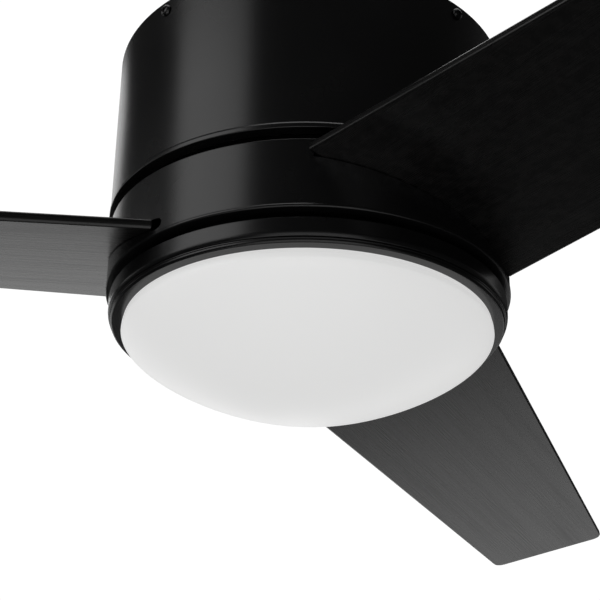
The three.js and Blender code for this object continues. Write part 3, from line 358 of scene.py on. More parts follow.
@dataclass(frozen=True)
class Finish:
    """What every finish has: its slot, its colour and how it shines."""

    slot: Slot
    colour: Colour
    roughness: float
    metallic: float = 0.0
    specular: float = 0.5

    def start(self) -> tuple[Material, Wiring, Node, NodeSocket]:
        """Makes the material with its shader.

        Returns:
            The material, its wiring, the Principled node and the object coordinates' socket.
        """
        material = bpy.data.materials.new(self.slot.value + "_finish")
        material.use_nodes = True
        wiring = Wiring(material.node_tree)
        inputs = {
            "Base Color": (*self.colour, 1.0),
            "Roughness": self.roughness,
            "Metallic": self.metallic,
            "Specular IOR Level": self.specular,
        }
        shader = wiring.node("BsdfPrincipled", inputs)
        wiring.node("OutputMaterial", {"Surface": shader.outputs[0]})
        place = wiring.node("TexCoord").outputs["Object"]
        return material, wiring, shader, place

    @staticmethod
    def bump(wiring: Wiring, shader: Node, height: NodeSocket, distance: float, strength: float) -> None:
        """Feeds a height into the shader's normal.

        Args:
            wiring: The material's wiring.
            shader: The Principled node.
            height: The height's socket.
            distance: The relief in metres.
            strength: How much of it shows.
        """
        inputs = {"Height": height, "Distance": distance, "Strength": strength}
        made = wiring.node("Bump", inputs)
        wiring.tree.links.new(made.outputs[0], shader.inputs["Normal"])

    def material(self) -> Material:
        """The finish's material, which each kind of finish overrides."""
        return self.start()[0]


@dataclass(frozen=True)
class SprayedPaint(Finish):
    """Baked or powder-coated paint on sheet metal."""

    pebble: float = 900.0
    relief: float = 0.00002
    worn: Colour = (0.045, 0.045, 0.046)
    dust: float = 0.08
    dust_colour: Colour = (0.22, 0.21, 0.2)

    def material(self) -> Material:
        """Paint with pebbling, clouded gloss, rubbed edges and a little dust.

        Returns:
            The material, with its nodes wired.
        """
        material, wiring, shader, place = self.start()
        peel = wiring.group(EFFECTS.peel, {"Vector": place, "Pebble Scale": self.pebble})
        wear = wiring.group(EFFECTS.wear, {"Vector": place})
        dust = wiring.group(EFFECTS.dust, {"Vector": place, "Amount": self.dust})
        lift = tuple(min(1.0, c * 1.25 + 0.001) for c in self.colour)
        paint = wiring.blend(peel.outputs["Cloud"], self.colour, lift)
        rubbed = wiring.math("MULTIPLY", wear.outputs["Mask"], 0.35)
        edged = wiring.blend(rubbed, paint, self.worn)
        dusty = wiring.blend(dust.outputs["Mask"], edged, self.dust_colour)
        gloss = wiring.ramp(peel.outputs["Cloud"], 0.0, 1.0, self.roughness - 0.02, self.roughness + 0.025)
        dulled = wiring.math("MULTIPLY_ADD", dust.outputs["Mask"], 0.4)
        wiring.tree.links.new(gloss, dulled.node.inputs[2])
        wiring.tree.links.new(dusty, shader.inputs["Base Color"])
        wiring.tree.links.new(dulled, shader.inputs["Roughness"])
        self.bump(wiring, shader, peel.outputs["Height"], self.relief, 0.5)
        return material


@dataclass(frozen=True)
class BladeVeneer(Finish):
    """Black-stained board with a faint lengthwise grain, laid along the blade's own map."""

    grain_map: str = "blade_map"
    pore_scale: Point3 = (9.0, 950.0, 1.0)
    band_scale: Point3 = (2.2, 90.0, 1.0)
    worn: Colour = (0.03, 0.028, 0.027)
    dust: float = 0.06
    dust_colour: Colour = (0.2, 0.19, 0.18)

    def material(self) -> Material:
        """Stained board whose grain shows in the colour, the gloss and the relief.

        Returns:
            The material, with its nodes wired.
        """
        material, wiring, shader, place = self.start()
        along = wiring.node("UVMap", uv_map=self.grain_map).outputs[0]
        fine = wiring.node("Mapping", {"Vector": along, "Scale": self.pore_scale}).outputs[0]
        broad = wiring.node("Mapping", {"Vector": along, "Scale": self.band_scale}).outputs[0]
        pores = wiring.noise(fine, 1.0, 4.0, 0.65)
        bands = wiring.noise(broad, 1.0, 3.0, 0.6)
        dust = wiring.group(EFFECTS.dust, {"Vector": place, "Amount": self.dust})
        wear = wiring.group(EFFECTS.wear, {"Vector": place})
        grain = wiring.math("MULTIPLY", wiring.ramp(pores, 0.35, 0.7), wiring.ramp(bands, 0.25, 0.75))
        dark = tuple(c * 0.72 for c in self.colour)
        light = tuple(c * 1.5 for c in self.colour)
        stained = wiring.blend(grain, dark, light)
        rubbed = wiring.math("MULTIPLY", wear.outputs["Mask"], 0.3)
        edged = wiring.blend(rubbed, stained, self.worn)
        dusty = wiring.blend(dust.outputs["Mask"], edged, self.dust_colour)
        gloss = wiring.ramp(grain, 0.0, 1.0, self.roughness - 0.04, self.roughness + 0.07)
        wiring.tree.links.new(dusty, shader.inputs["Base Color"])
        wiring.tree.links.new(gloss, shader.inputs["Roughness"])
        self.bump(wiring, shader, grain, 0.00005, 0.35)
        return material


@dataclass(frozen=True)
class OpalPlastic(Finish):
    """Milky moulded plastic. Its emission is painted light: an even shine though no lamp lights it."""

    # Painted light: the emission colour and strength make the lens shine evenly though no lamp lights it.
    painted_glow_colour: Colour = (0.985, 0.985, 0.98)
    painted_glow: float = 0.6

    def material(self) -> Material:
        """Opal plastic with a faint frosting and painted light: an emission that evens out its brightness.

        Returns:
            The material, with its nodes wired.
        """
        material, wiring, shader, place = self.start()
        peel = wiring.group(EFFECTS.peel, {"Vector": place, "Pebble Scale": 1400.0, "Cloud Scale": 14.0})
        shade = tuple(c * 0.985 for c in self.colour)
        milk = wiring.blend(peel.outputs["Cloud"], self.colour, shade)
        gloss = wiring.ramp(peel.outputs["Cloud"], 0.0, 1.0, self.roughness - 0.03, self.roughness + 0.03)
        wiring.tree.links.new(milk, shader.inputs["Base Color"])
        wiring.tree.links.new(gloss, shader.inputs["Roughness"])
        # Painted light: the emission stands in for light falling on the lens.
        shader.inputs["Emission Color"].default_value = (*self.painted_glow_colour, 1.0)
        shader.inputs["Emission Strength"].default_value = self.painted_glow
        self.bump(wiring, shader, peel.outputs["Height"], 0.00001, 0.3)
        return material


@dataclass(frozen=True)
class PlatedSteel(Finish):
    """Zinc-plated pressed steel with a faint spangle."""

    clouded: Colour = (0.34, 0.35, 0.36)
    worn: Colour = (0.78, 0.79, 0.8)
    dust: float = 0.35
    dust_colour: Colour = (0.3, 0.29, 0.27)

    def material(self) -> Material:
        """Plated steel: crystals in the colour and gloss, fine scratches in the relief.

        Returns:
            The material, with its nodes wired.
        """
        material, wiring, shader, place = self.start()
        cells = wiring.node("TexVoronoi", {"Vector": place, "Scale": 260.0})
        spangle = wiring.node("SeparateXYZ", {0: cells.outputs["Color"]}).outputs[0]
        peel = wiring.group(EFFECTS.peel, {"Vector": place, "Pebble Scale": 1300.0, "Cloud Scale": 26.0})
        dust = wiring.group(EFFECTS.dust, {"Vector": place, "Amount": self.dust})
        wear = wiring.group(EFFECTS.wear, {"Vector": place})
        dark = tuple(c * 0.82 for c in self.colour)
        plated = wiring.blend(spangle, dark, self.colour)
        cloud = wiring.math("MULTIPLY", peel.outputs["Cloud"], 0.35)
        clouded = wiring.blend(cloud, plated, self.clouded)
        edged = wiring.blend(wear.outputs["Mask"], clouded, self.worn)
        dusty = wiring.blend(dust.outputs["Mask"], edged, self.dust_colour)
        gloss = wiring.ramp(spangle, 0.0, 1.0, self.roughness - 0.05, self.roughness + 0.09)
        wiring.tree.links.new(dusty, shader.inputs["Base Color"])
        wiring.tree.links.new(gloss, shader.inputs["Roughness"])
        self.bump(wiring, shader, peel.outputs["Height"], 0.00002, 0.4)
        return material


@dataclass(frozen=True)
class LaminatedSteel(Finish):
    """A stack of thin steel sheets, seen on its edges."""

    sheets: float = 2000.0
    rust: Colour = (0.12, 0.07, 0.045)

    def material(self) -> Material:
        """Steel whose colour and relief step from sheet to sheet.

        Returns:
            The material, with its nodes wired.
        """
        material, wiring, shader, place = self.start()
        height = wiring.node("SeparateXYZ", {0: place}).outputs["Z"]
        stack = wiring.math("MULTIPLY", height, self.sheets)
        groove = wiring.math("PINGPONG", stack, 0.5)
        which = wiring.node("TexWhiteNoise", noise_dimensions="1D")
        wiring.tree.links.new(wiring.math("FLOOR", stack), which.inputs["W"])
        dark = tuple(c * 0.6 for c in self.colour)
        sheet = wiring.blend(which.outputs["Value"], dark, self.colour)
        stain = wiring.ramp(wiring.noise(place, 60.0, 4.0), 0.45, 0.7)
        rusty = wiring.blend(wiring.math("MULTIPLY", stain, 0.25), sheet, self.rust)
        wiring.tree.links.new(rusty, shader.inputs["Base Color"])
        gloss = wiring.ramp(stain, 0.0, 1.0, self.roughness - 0.06, self.roughness + 0.1)
        wiring.tree.links.new(gloss, shader.inputs["Roughness"])
        self.bump(wiring, shader, groove, 0.0001, 0.6)
        return material


@dataclass(frozen=True)
class CoilWire(Finish):
    """Enamelled winding wire laid in tight turns."""

    turns: float = 1100.0

    def material(self) -> Material:
        """Copper with the wires' ribs and painted shade that darkens the grooves between them.

        Returns:
            The material, with its nodes wired.
        """
        material, wiring, shader, place = self.start()
        parts = wiring.node("SeparateXYZ", {0: place}).outputs
        flat = wiring.node("CombineXYZ", {0: parts["X"], 1: parts["Y"]}).outputs[0]
        radius = wiring.node("VectorMath", {0: flat}, operation="LENGTH").outputs["Value"]
        wobble = wiring.math("MULTIPLY", wiring.noise(place, 55.0), 0.0012)
        across = wiring.math("ADD", wiring.math("ADD", radius, parts["Z"]), wobble)
        rib = wiring.math("PINGPONG", wiring.math("MULTIPLY", across, self.turns), 0.5)
        # Painted shade: the grooves between the turns are darkened to about a third of the copper's colour.
        dark = tuple(c * 0.35 for c in self.colour)
        copper_with_painted_shade = wiring.blend(wiring.ramp(rib, 0.0, 0.3), dark, self.colour)
        wiring.tree.links.new(copper_with_painted_shade, shader.inputs["Base Color"])
        gloss = wiring.ramp(rib, 0.0, 0.5, self.roughness + 0.2, self.roughness - 0.05)
        wiring.tree.links.new(gloss, shader.inputs["Roughness"])
        self.bump(wiring, shader, rib, 0.0004, 0.8)
        return material


@dataclass(frozen=True)
class TurnedMetal(Finish):
    """Metal that a lathe has finished, cast or ground."""

    relief: float = 0.00002
    pits: float = 0.0
    worn: Colour = (0.82, 0.83, 0.84)

    def material(self) -> Material:
        """Metal with lathe rings, and casting pits where it has them.

        Returns:
            The material, with its nodes wired.
        """
        material, wiring, shader, place = self.start()
        marks = wiring.group(EFFECTS.lathe_marks, {"Vector": place})
        wear = wiring.group(EFFECTS.wear, {"Vector": place})
        grit = wiring.noise(place, 420.0, 4.0, 0.7)
        relief = wiring.math("MULTIPLY_ADD", grit, self.pits)
        wiring.tree.links.new(marks.outputs["Height"], relief.node.inputs[2])
        dark = tuple(c * 0.8 for c in self.colour)
        metal = wiring.blend(wiring.ramp(grit, 0.3, 0.7), dark, self.colour)
        edged = wiring.blend(wear.outputs["Mask"], metal, self.worn)
        gloss = wiring.ramp(marks.outputs["Height"], 0.2, 0.8, self.roughness - 0.04, self.roughness + 0.08)
        wiring.tree.links.new(edged, shader.inputs["Base Color"])
        wiring.tree.links.new(gloss, shader.inputs["Roughness"])
        self.bump(wiring, shader, relief, self.relief, 0.5)
        return material


@dataclass(frozen=True)
class CircuitBoard(Finish):
    """A white circuit board whose raised chips are yellow."""

    chip_height: float = -0.195
    speck: Colour = (0.6, 0.6, 0.56)
    chip: Colour = (0.85, 0.68, 0.12)

    def material(self) -> Material:
        """White solder mask above, yellow light chips below it.

        Returns:
            The material, with its nodes wired.
        """
        material, wiring, shader, place = self.start()
        height = wiring.node("SeparateXYZ", {0: place}).outputs["Z"]
        chip = wiring.math("LESS_THAN", height, self.chip_height)
        speck = wiring.ramp(wiring.noise(place, 900.0), 0.4, 0.6)
        mask = wiring.blend(wiring.math("MULTIPLY", speck, 0.2), self.colour, self.speck)
        lit = wiring.blend(chip, mask, self.chip)
        wiring.tree.links.new(lit, shader.inputs["Base Color"])
        gloss = wiring.ramp(speck, 0.0, 1.0, self.roughness - 0.05, self.roughness + 0.05)
        wiring.tree.links.new(gloss, shader.inputs["Roughness"])
        self.bump(wiring, shader, speck, 0.00002, 0.3)
        return material


@dataclass(frozen=True)
class MouldedSkin(Finish):
    """Moulded plastic or rubber with a spark-eroded texture."""

    texture: float = 1600.0
    relief: float = 0.00005
    worn: Colour = (0.16, 0.16, 0.16)

    def material(self) -> Material:
        """A dull textured skin with scuffed edges.

        Returns:
            The material, with its nodes wired.
        """
        material, wiring, shader, place = self.start()
        inputs = {"Vector": place, "Pebble Scale": self.texture, "Cloud Scale": 30.0}
        peel = wiring.group(EFFECTS.peel, inputs)
        wear = wiring.group(EFFECTS.wear, {"Vector": place})
        lift = tuple(c * 1.35 + 0.002 for c in self.colour)
        skin = wiring.blend(peel.outputs["Cloud"], self.colour, lift)
        rubbed = wiring.math("MULTIPLY", wear.outputs["Mask"], 0.5)
        scuffed = wiring.blend(rubbed, skin, self.worn)
        gloss = wiring.ramp(peel.outputs["Cloud"], 0.0, 1.0, self.roughness - 0.05, self.roughness + 0.08)
        wiring.tree.links.new(scuffed, shader.inputs["Base Color"])
        wiring.tree.links.new(gloss, shader.inputs["Roughness"])
        self.bump(wiring, shader, peel.outputs["Height"], self.relief, 0.6)
        return material


class Finishes:
    """One material for each slot, made once."""

    KINDS = (
        SprayedPaint(Slot.SATIN_BLACK, (0.0028, 0.0028, 0.003), 0.26),
        BladeVeneer(Slot.BLADE_BLACK, (0.0036, 0.0035, 0.0035), 0.29),
        PlatedSteel(Slot.ZINC_STEEL, (0.58, 0.59, 0.61), 0.32, metallic=1.0),
        LaminatedSteel(Slot.MOTOR_STEEL, (0.2, 0.205, 0.215), 0.5, metallic=0.9),
        CoilWire(Slot.COIL_COPPER, (0.62, 0.24, 0.09), 0.32, metallic=0.9),
        TurnedMetal(Slot.CAST_ALUMINIUM, (0.5, 0.505, 0.515), 0.42, metallic=1.0, pits=2.5),
        TurnedMetal(Slot.BEARING_STEEL, (0.7, 0.71, 0.73), 0.14, metallic=1.0, relief=0.000005),
        # The lens keeps the default painted emission, which evens out its brightness.
        OpalPlastic(Slot.OPAL_LENS, (0.42, 0.42, 0.418), 0.42),
        SprayedPaint(Slot.WHITE_TRAY, (0.8, 0.8, 0.785), 0.45, worn=(0.5, 0.5, 0.5), dust=0.1),
        CircuitBoard(Slot.LIGHT_BOARD, (0.75, 0.76, 0.72), 0.4),
        MouldedSkin(Slot.DARK_PLASTIC, (0.018, 0.019, 0.021), 0.48),
        MouldedSkin(Slot.SLEEVE_RUBBER, (0.012, 0.012, 0.012), 0.66, texture=2400.0),
    )

    def __init__(self) -> None:
        """Builds the materials."""
        self.by_slot = {kind.slot: kind.material() for kind in self.KINDS}


# ---------- solids ----------


@dataclass(frozen=True)
class Corner:
    """A corner of a turned piece's section, with how far its rounding reaches."""

    radius: float
    height: float
    ease: float = 0.0


def merge_close(body: BMesh) -> BMesh:
    """Merges doubles, then turns every face outward.

    Args:
        body: The solid to clean, which is changed in place.

    Returns:
        The same solid.
    """
    bmesh.ops.remove_doubles(body, verts=body.verts, dist=1e-7)
    bmesh.ops.recalc_face_normals(body, faces=body.faces)
    return body


def ease_corners(body: BMesh, eases: Sequence[float], segments: int) -> None:
    """Rounds the corners of an outline that lies in the bmesh.

    Args:
        body: The bmesh, whose vertices are the outline's corners in order.
        eases: How far each corner's rounding reaches along its sides.
        segments: How many flats each rounding has.
    """
    body.verts.ensure_lookup_table()
    corners = list(zip(body.verts, eases))
    for ease in sorted({value for value in eases if value > 0.0}):
        picked = [vertex for vertex, value in corners if value == ease]
        bmesh.ops.bevel(
            body,
            geom=picked,
            offset=ease,
            offset_type="OFFSET",
            segments=segments,
            profile=0.5,
            affect="VERTICES",
            material=-1,
        )


def turned(corners: Sequence[Corner], steps: Steps, segments: int = 4) -> BMesh:
    """Spins a section round the fan's axis.

    Args:
        corners: The section's corners. It closes on itself unless both ends lie on the axis.
        steps: How finely it is turned.
        segments: How many flats each rounded corner has.

    Returns:
        The closed solid.
    """
    body = bmesh.new()
    points = [body.verts.new((corner.radius, 0.0, corner.height)) for corner in corners]
    for first, second in zip(points, points[1:]):
        body.edges.new((first, second))
    if corners[0].radius > 0.0 or corners[-1].radius > 0.0:
        body.edges.new((points[-1], points[0]))
    ease_corners(body, [corner.ease for corner in corners], segments)
    bmesh.ops.spin(
        body,
        geom=body.verts[:] + body.edges[:],
        cent=(0.0, 0.0, 0.0),
        axis=UP,
        dvec=(0.0, 0.0, 0.0),
        angle=math.tau,
        steps=steps.value,
        use_merge=True,
        use_normal_flip=False,
        use_duplicate=False,
    )
    return merge_close(body)


def ring_corners(inner: float, outer: float, low: float, high: float, ease: float) -> list[Corner]:
    """The section of a ring with eased corners.

    Args:
        inner: The bore's radius, or zero for a disc.
        outer: The outer radius.
        low: The underside's height.
        high: The top's height.
        ease: How far each corner's rounding reaches.

    Returns:
        The section's corners.
    """
    at_bore = ease if inner > 0.0 else 0.0
    return [
        Corner(inner, low, at_bore),
        Corner(outer, low, ease),
        Corner(outer, high, ease),
        Corner(inner, high, at_bore),
    ]


def rod(radius: float, low: float, high: float, steps: Steps = Steps.SCREW, ease: float = 0.0) -> BMesh:
    """An upright rod on the fan's axis, for a shank or to cut a hole."""
    return turned(ring_corners(0.0, radius, low, high, ease), steps)


def raised(
    outline: Sequence[Point2], eases: Sequence[float], low: float, high: float, arris: float
) -> BMesh:
    """Raises a flat outline to a plate with rounded corners and eased edges.

    Args:
        outline: The corners in order.
        eases: How far each corner's rounding reaches.
        low: The underside's height.
        high: The top's height.
        arris: The rounding of the upper and lower edges.

    Returns:
        The closed solid.
    """
    body = bmesh.new()
    body.faces.new([body.verts.new((x, y, low)) for x, y in outline])
    ease_corners(body, eases, 5)
    grown = bmesh.ops.extrude_face_region(body, geom=body.faces[:])
    tops = [item for item in grown["geom"] if isinstance(item, bmesh.types.BMVert)]
    bmesh.ops.translate(body, verts=tops, vec=(0.0, 0.0, high - low))
    merge_close(body)
    if arris > 0.0:
        rims = [edge for edge in body.edges if abs(edge.verts[0].co.z - edge.verts[1].co.z) < 1e-9]
        bmesh.ops.bevel(
            body,
            geom=rims,
            offset=arris,
            offset_type="OFFSET",
            segments=3,
            profile=0.5,
            affect="EDGES",
            material=-1,
        )
    return merge_close(body)


def brick(x: Point2, y: Point2, z: Point2, corner: float, arris: float) -> BMesh:
    """A box given by its limits, with rounded corners and eased edges."""
    outline = [(x[0], y[0]), (x[1], y[0]), (x[1], y[1]), (x[0], y[1])]
    return raised(outline, [corner] * 4, z[0], z[1], arris)


def moved(body: BMesh, matrix: Matrix) -> BMesh:
    """Moves a solid in place."""
    bmesh.ops.transform(body, matrix=matrix, verts=body.verts)
    return body


def about_axis(azimuth: float) -> Matrix:
    """A turn about the fan's axis by an angle in degrees."""
    return Matrix.Rotation(math.radians(azimuth), 4, "Z")


def around(count: int, first: float) -> list[float]:
    """Equal azimuths in degrees round the axis."""
    return [first + 360.0 * index / count for index in range(count)]


def gathered(bodies: Iterable[BMesh]) -> BMesh:
    """Puts several solids into one bmesh and frees them.

    Args:
        bodies: The solids, which are used up.

    Returns:
        One bmesh with all of them.
    """
    whole = bmesh.new()
    for body in bodies:
        mesh = bpy.data.meshes.new("part")
        body.to_mesh(mesh)
        body.free()
        whole.from_mesh(mesh)
        bpy.data.meshes.remove(mesh)
    return whole


def copies(body: BMesh, matrices: Iterable[Matrix]) -> BMesh:
    """Repeats a solid at each matrix and frees it.

    Args:
        body: The solid to repeat, which is used up.
        matrices: Where each copy stands.

    Returns:
        One bmesh with all the copies.
    """
    made = [moved(body.copy(), matrix) for matrix in matrices]
    body.free()
    return gathered(made)


def temporary(body: BMesh) -> Object:
    """Makes an object of a solid, for a cut or a weld.

    Args:
        body: The solid, which is used up.

    Returns:
        The object, linked to the scene.
    """
    mesh = bpy.data.meshes.new("temporary")
    body.to_mesh(mesh)
    body.free()
    made = bpy.data.objects.new("temporary", mesh)
    bpy.context.scene.collection.objects.link(made)
    return made


def combined(body: BMesh, tool: BMesh, how: Join) -> BMesh:
    """Cuts one solid by another, or welds them.

    Args:
        body: The solid to keep, which is used up.
        tool: The other solid, which is used up.
        how: Whether to cut or weld.

    Returns:
        The result.
    """
    kept = temporary(body)
    other = temporary(tool)
    change = kept.modifiers.new("combine", "BOOLEAN")
    change.operation = how.value
    change.solver = "EXACT"
    change.object = other
    shaped = kept.evaluated_get(bpy.context.evaluated_depsgraph_get())
    mesh = bpy.data.meshes.new_from_object(shaped)
    result = bmesh.new()
    result.from_mesh(mesh)
    for item in (kept, other):
        data = item.data
        bpy.data.objects.remove(item)
        bpy.data.meshes.remove(data)
    bpy.data.meshes.remove(mesh)
    bmesh.ops.remove_doubles(result, verts=result.verts, dist=2e-7)
    return result


@dataclass
class Workshop:
    """Turns solids into finished pieces on their bodies."""

    finishes: Finishes
    crease: float = 38.0

    def piece(self, node: str, body: BMesh, rides: Body, slot: Slot, detail: str = "") -> Object:
        """Makes the piece that stands for a node.

        Args:
            node: The node's name, which the piece replaces.
            body: Its solid, which is used up.
            rides: The body it moves with.
            slot: The material slot of its finish.
            detail: What the piece's name adds to the node's name.

        Returns:
            The finished object.
        """
        sharp = math.radians(self.crease)
        for face in body.faces:
            face.smooth = True
        for edge in body.edges:
            edge.smooth = edge.calc_face_angle(math.pi) < sharp
        name = f"{node}_{detail or 'made'}"
        mesh = bpy.data.meshes.new(name)
        body.to_mesh(mesh)
        body.free()
        made = bpy.data.objects.new(name, mesh)
        bpy.context.scene.collection.objects.link(made)
        mesh.materials.append(self.finishes.by_slot[slot])
        weighted = made.modifiers.new("even_normals", "WEIGHTED_NORMAL")
        weighted.keep_sharp = True
        weighted.mode = "FACE_AREA_WITH_ANGLE"
        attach(made, rides.value)
        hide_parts(node)
        LOG.info("%s: %d faces, rides on %s", name, len(mesh.polygons), rides.value)
        return made


# ---------- screws ----------


@dataclass
class PanScrew:
    """A pan-head screw with a cross recess, standing on +Z with its head below zero."""

    shank: float
    length: float
    head: float
    head_height: float
    crown: float = 0.86
    crown_round: float = 0.45
    rim_round: float = 0.08
    recess_depth: float = 0.65
    recess_reach: float = 0.58
    recess_half: float = 0.11

    def solid(self) -> BMesh:
        """The screw's solid, recess and all.

        Returns:
            The screw's solid.
        """
        tip = self.shank * 0.5
        corners = [
            Corner(0.0, -self.head_height),
            Corner(self.head * self.crown, -self.head_height, self.head * self.crown_round),
            Corner(self.head, 0.0, self.head * self.rim_round),
            Corner(self.shank, 0.0),
            Corner(self.shank, self.length - tip),
            Corner(tip, self.length),
            Corner(0.0, self.length),
        ]
        body = turned(corners, Steps.SCREW, 5)
        deep = -self.head_height * (1.0 - self.recess_depth)
        wing = self.head * self.recess_reach
        thin = self.head * self.recess_half
        under = -self.head_height - OVERCUT
        bars = [
            brick((-wing, wing), (-thin, thin), (under, deep), 0.0, 0.0),
            brick((-thin, thin), (-wing, wing), (under, deep), 0.0, 0.0),
        ]
        for bar in bars:
            body = combined(body, bar, Join.CUT)
        return body


# ---------- ceiling plate and housing ----------


@dataclass
class UpperHousing:
    """The ceiling plate, the fixed upper housing and the screws that join them."""

    wall: float = 1.5 * MM
    lip: float = 0.6 * MM
    lip_height: float = 3.0 * MM
    lip_round: float = 0.55 * MM
    lip_arris: float = 0.35 * MM
    flange: float = 6.0 * MM
    plate_thickness: float = 2.0 * MM
    plate_bend: float = 1.6 * MM
    plate_inner_bend: float = 1.2 * MM
    hole_round: float = 0.6 * MM
    wiring_hole: float = 28.0 * MM
    slot_offset: float = 44.5 * MM
    slot_length: float = 16.0 * MM
    slot_radius: float = 3.0 * MM
    slot_roundness: float = 0.9
    bolt_ring: float = 102.0 * MM
    bolt_hole: float = 3.2 * MM
    bolt_azimuths: tuple[float, ...] = (30.0, 150.0, 270.0)
    rib_inner: float = 62.0 * MM
    rib_outer: float = 82.0 * MM
    rib_depth: float = 0.8 * MM
    rib_half: float = 2.5 * MM
    rib_corner: float = 2.4 * MM
    screw: PanScrew = field(default_factory=lambda: PanScrew(1.9 * MM, 7.5 * MM, 4.0 * MM, 2.4 * MM))
    screw_azimuths: tuple[float, ...] = (45.0, 135.0, 225.0, 315.0)
    screw_drop: float = 9.0 * MM
    screw_play: float = 0.4 * MM
    screw_lift: float = 0.3 * MM
    hole_inward: float = 12.0 * MM
    hole_outward: float = 8.0 * MM

    def side_holes(self, radius: float) -> BMesh:
        """Rods where the four side screws pass through.

        Args:
            radius: The radius of the wall that they pierce.

        Returns:
            The four rods.
        """
        hole = rod(self.screw.shank + self.screw_play, -self.hole_inward, self.hole_outward)
        outward = Matrix.Rotation(math.pi / 2, 4, "Y")
        moved(hole, Matrix.Translation((radius, 0.0, -self.screw_drop)) @ outward)
        return copies(hole, [about_axis(azimuth) for azimuth in self.screw_azimuths])

    def housing(self) -> BMesh:
        """The spun shell with its rolled lip and inward flange.

        Returns:
            The housing's solid, with its screw holes.
        """
        low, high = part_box("upper_housing")
        outer = high.x - self.lip
        lip_top = low.z + self.lip_height
        corners = [
            Corner(outer - self.wall - self.flange, low.z, CUT_EDGE),
            Corner(high.x, low.z, self.lip_round),
            Corner(high.x, lip_top, self.lip_arris),
            Corner(outer, lip_top + self.lip, SOFT_EDGE),
            Corner(outer, high.z, ROLLED_EDGE),
            Corner(outer - self.wall, high.z, ROLLED_EDGE),
            Corner(outer - self.wall, low.z + self.wall, BENT_EDGE),
            Corner(outer - self.wall - self.flange, low.z + self.wall, CUT_EDGE),
        ]
        return combined(turned(corners, Steps.SHELL), self.side_holes(outer), Join.CUT)

    def ceiling_plate(self) -> BMesh:
        """The pressed plate with its turned-down rim, box slots and bolt holes.

        Returns:
            The plate's solid, with its stiffening grooves.
        """
        low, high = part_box("ceiling_plate")
        inner = high.x - self.plate_thickness
        under = high.z - self.plate_thickness
        corners = [
            Corner(self.wiring_hole, under, ROLLED_EDGE),
            Corner(inner, under, self.plate_inner_bend),
            Corner(inner, low.z, ROLLED_EDGE),
            Corner(high.x, low.z, ROLLED_EDGE),
            Corner(high.x, high.z, self.plate_bend),
            Corner(self.wiring_hole, high.z, self.hole_round),
        ]
        through = (under - OVERCUT, high.z + OVERCUT)
        half = self.slot_length / 2
        tools = [
            brick(
                (x - half, x + half),
                (-self.slot_radius, self.slot_radius),
                through,
                self.slot_radius * self.slot_roundness,
                0.0,
            )
            for x in (-self.slot_offset, self.slot_offset)
        ]
        hole = rod(self.bolt_hole, *through)
        moved(hole, Matrix.Translation((self.bolt_ring, 0.0, 0.0)))
        tools.append(copies(hole, [about_axis(azimuth) for azimuth in self.bolt_azimuths]))
        tools.append(self.side_holes(high.x))
        body = combined(turned(corners, Steps.SHELL), gathered(tools), Join.CUT)
        ribs = []
        for azimuth in around(6, 30.0):
            rib = brick(
                (self.rib_inner, self.rib_outer),
                (-self.rib_half, self.rib_half),
                (high.z - self.rib_depth, high.z + OVERCUT),
                self.rib_corner,
                0.0,
            )
            ribs.append(moved(rib, about_axis(azimuth)))
        return combined(body, gathered(ribs), Join.CUT)

    def build(self, shop: Workshop) -> None:
        """Builds the plate, the housing and its screws.

        Args:
            shop: The workshop that finishes the pieces.
        """
        shop.piece("ceiling_plate", self.ceiling_plate(), Body.FIXED, Slot.ZINC_STEEL)
        shop.piece("upper_housing", self.housing(), Body.FIXED, Slot.SATIN_BLACK)
        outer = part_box("upper_housing")[1].x - self.lip
        inward = Matrix.Rotation(-math.pi / 2, 4, "Y")
        seat = Matrix.Translation((outer + self.screw_lift, 0.0, -self.screw_drop)) @ inward
        screw = self.screw.solid()
        for index, azimuth in enumerate(self.screw_azimuths):
            body = moved(screw.copy(), about_axis(azimuth) @ seat)
            shop.piece(f"housing_screw_{index + 1}", body, Body.FIXED, Slot.SATIN_BLACK)
        screw.free()


# ---------- hanger, shaft and nuts ----------


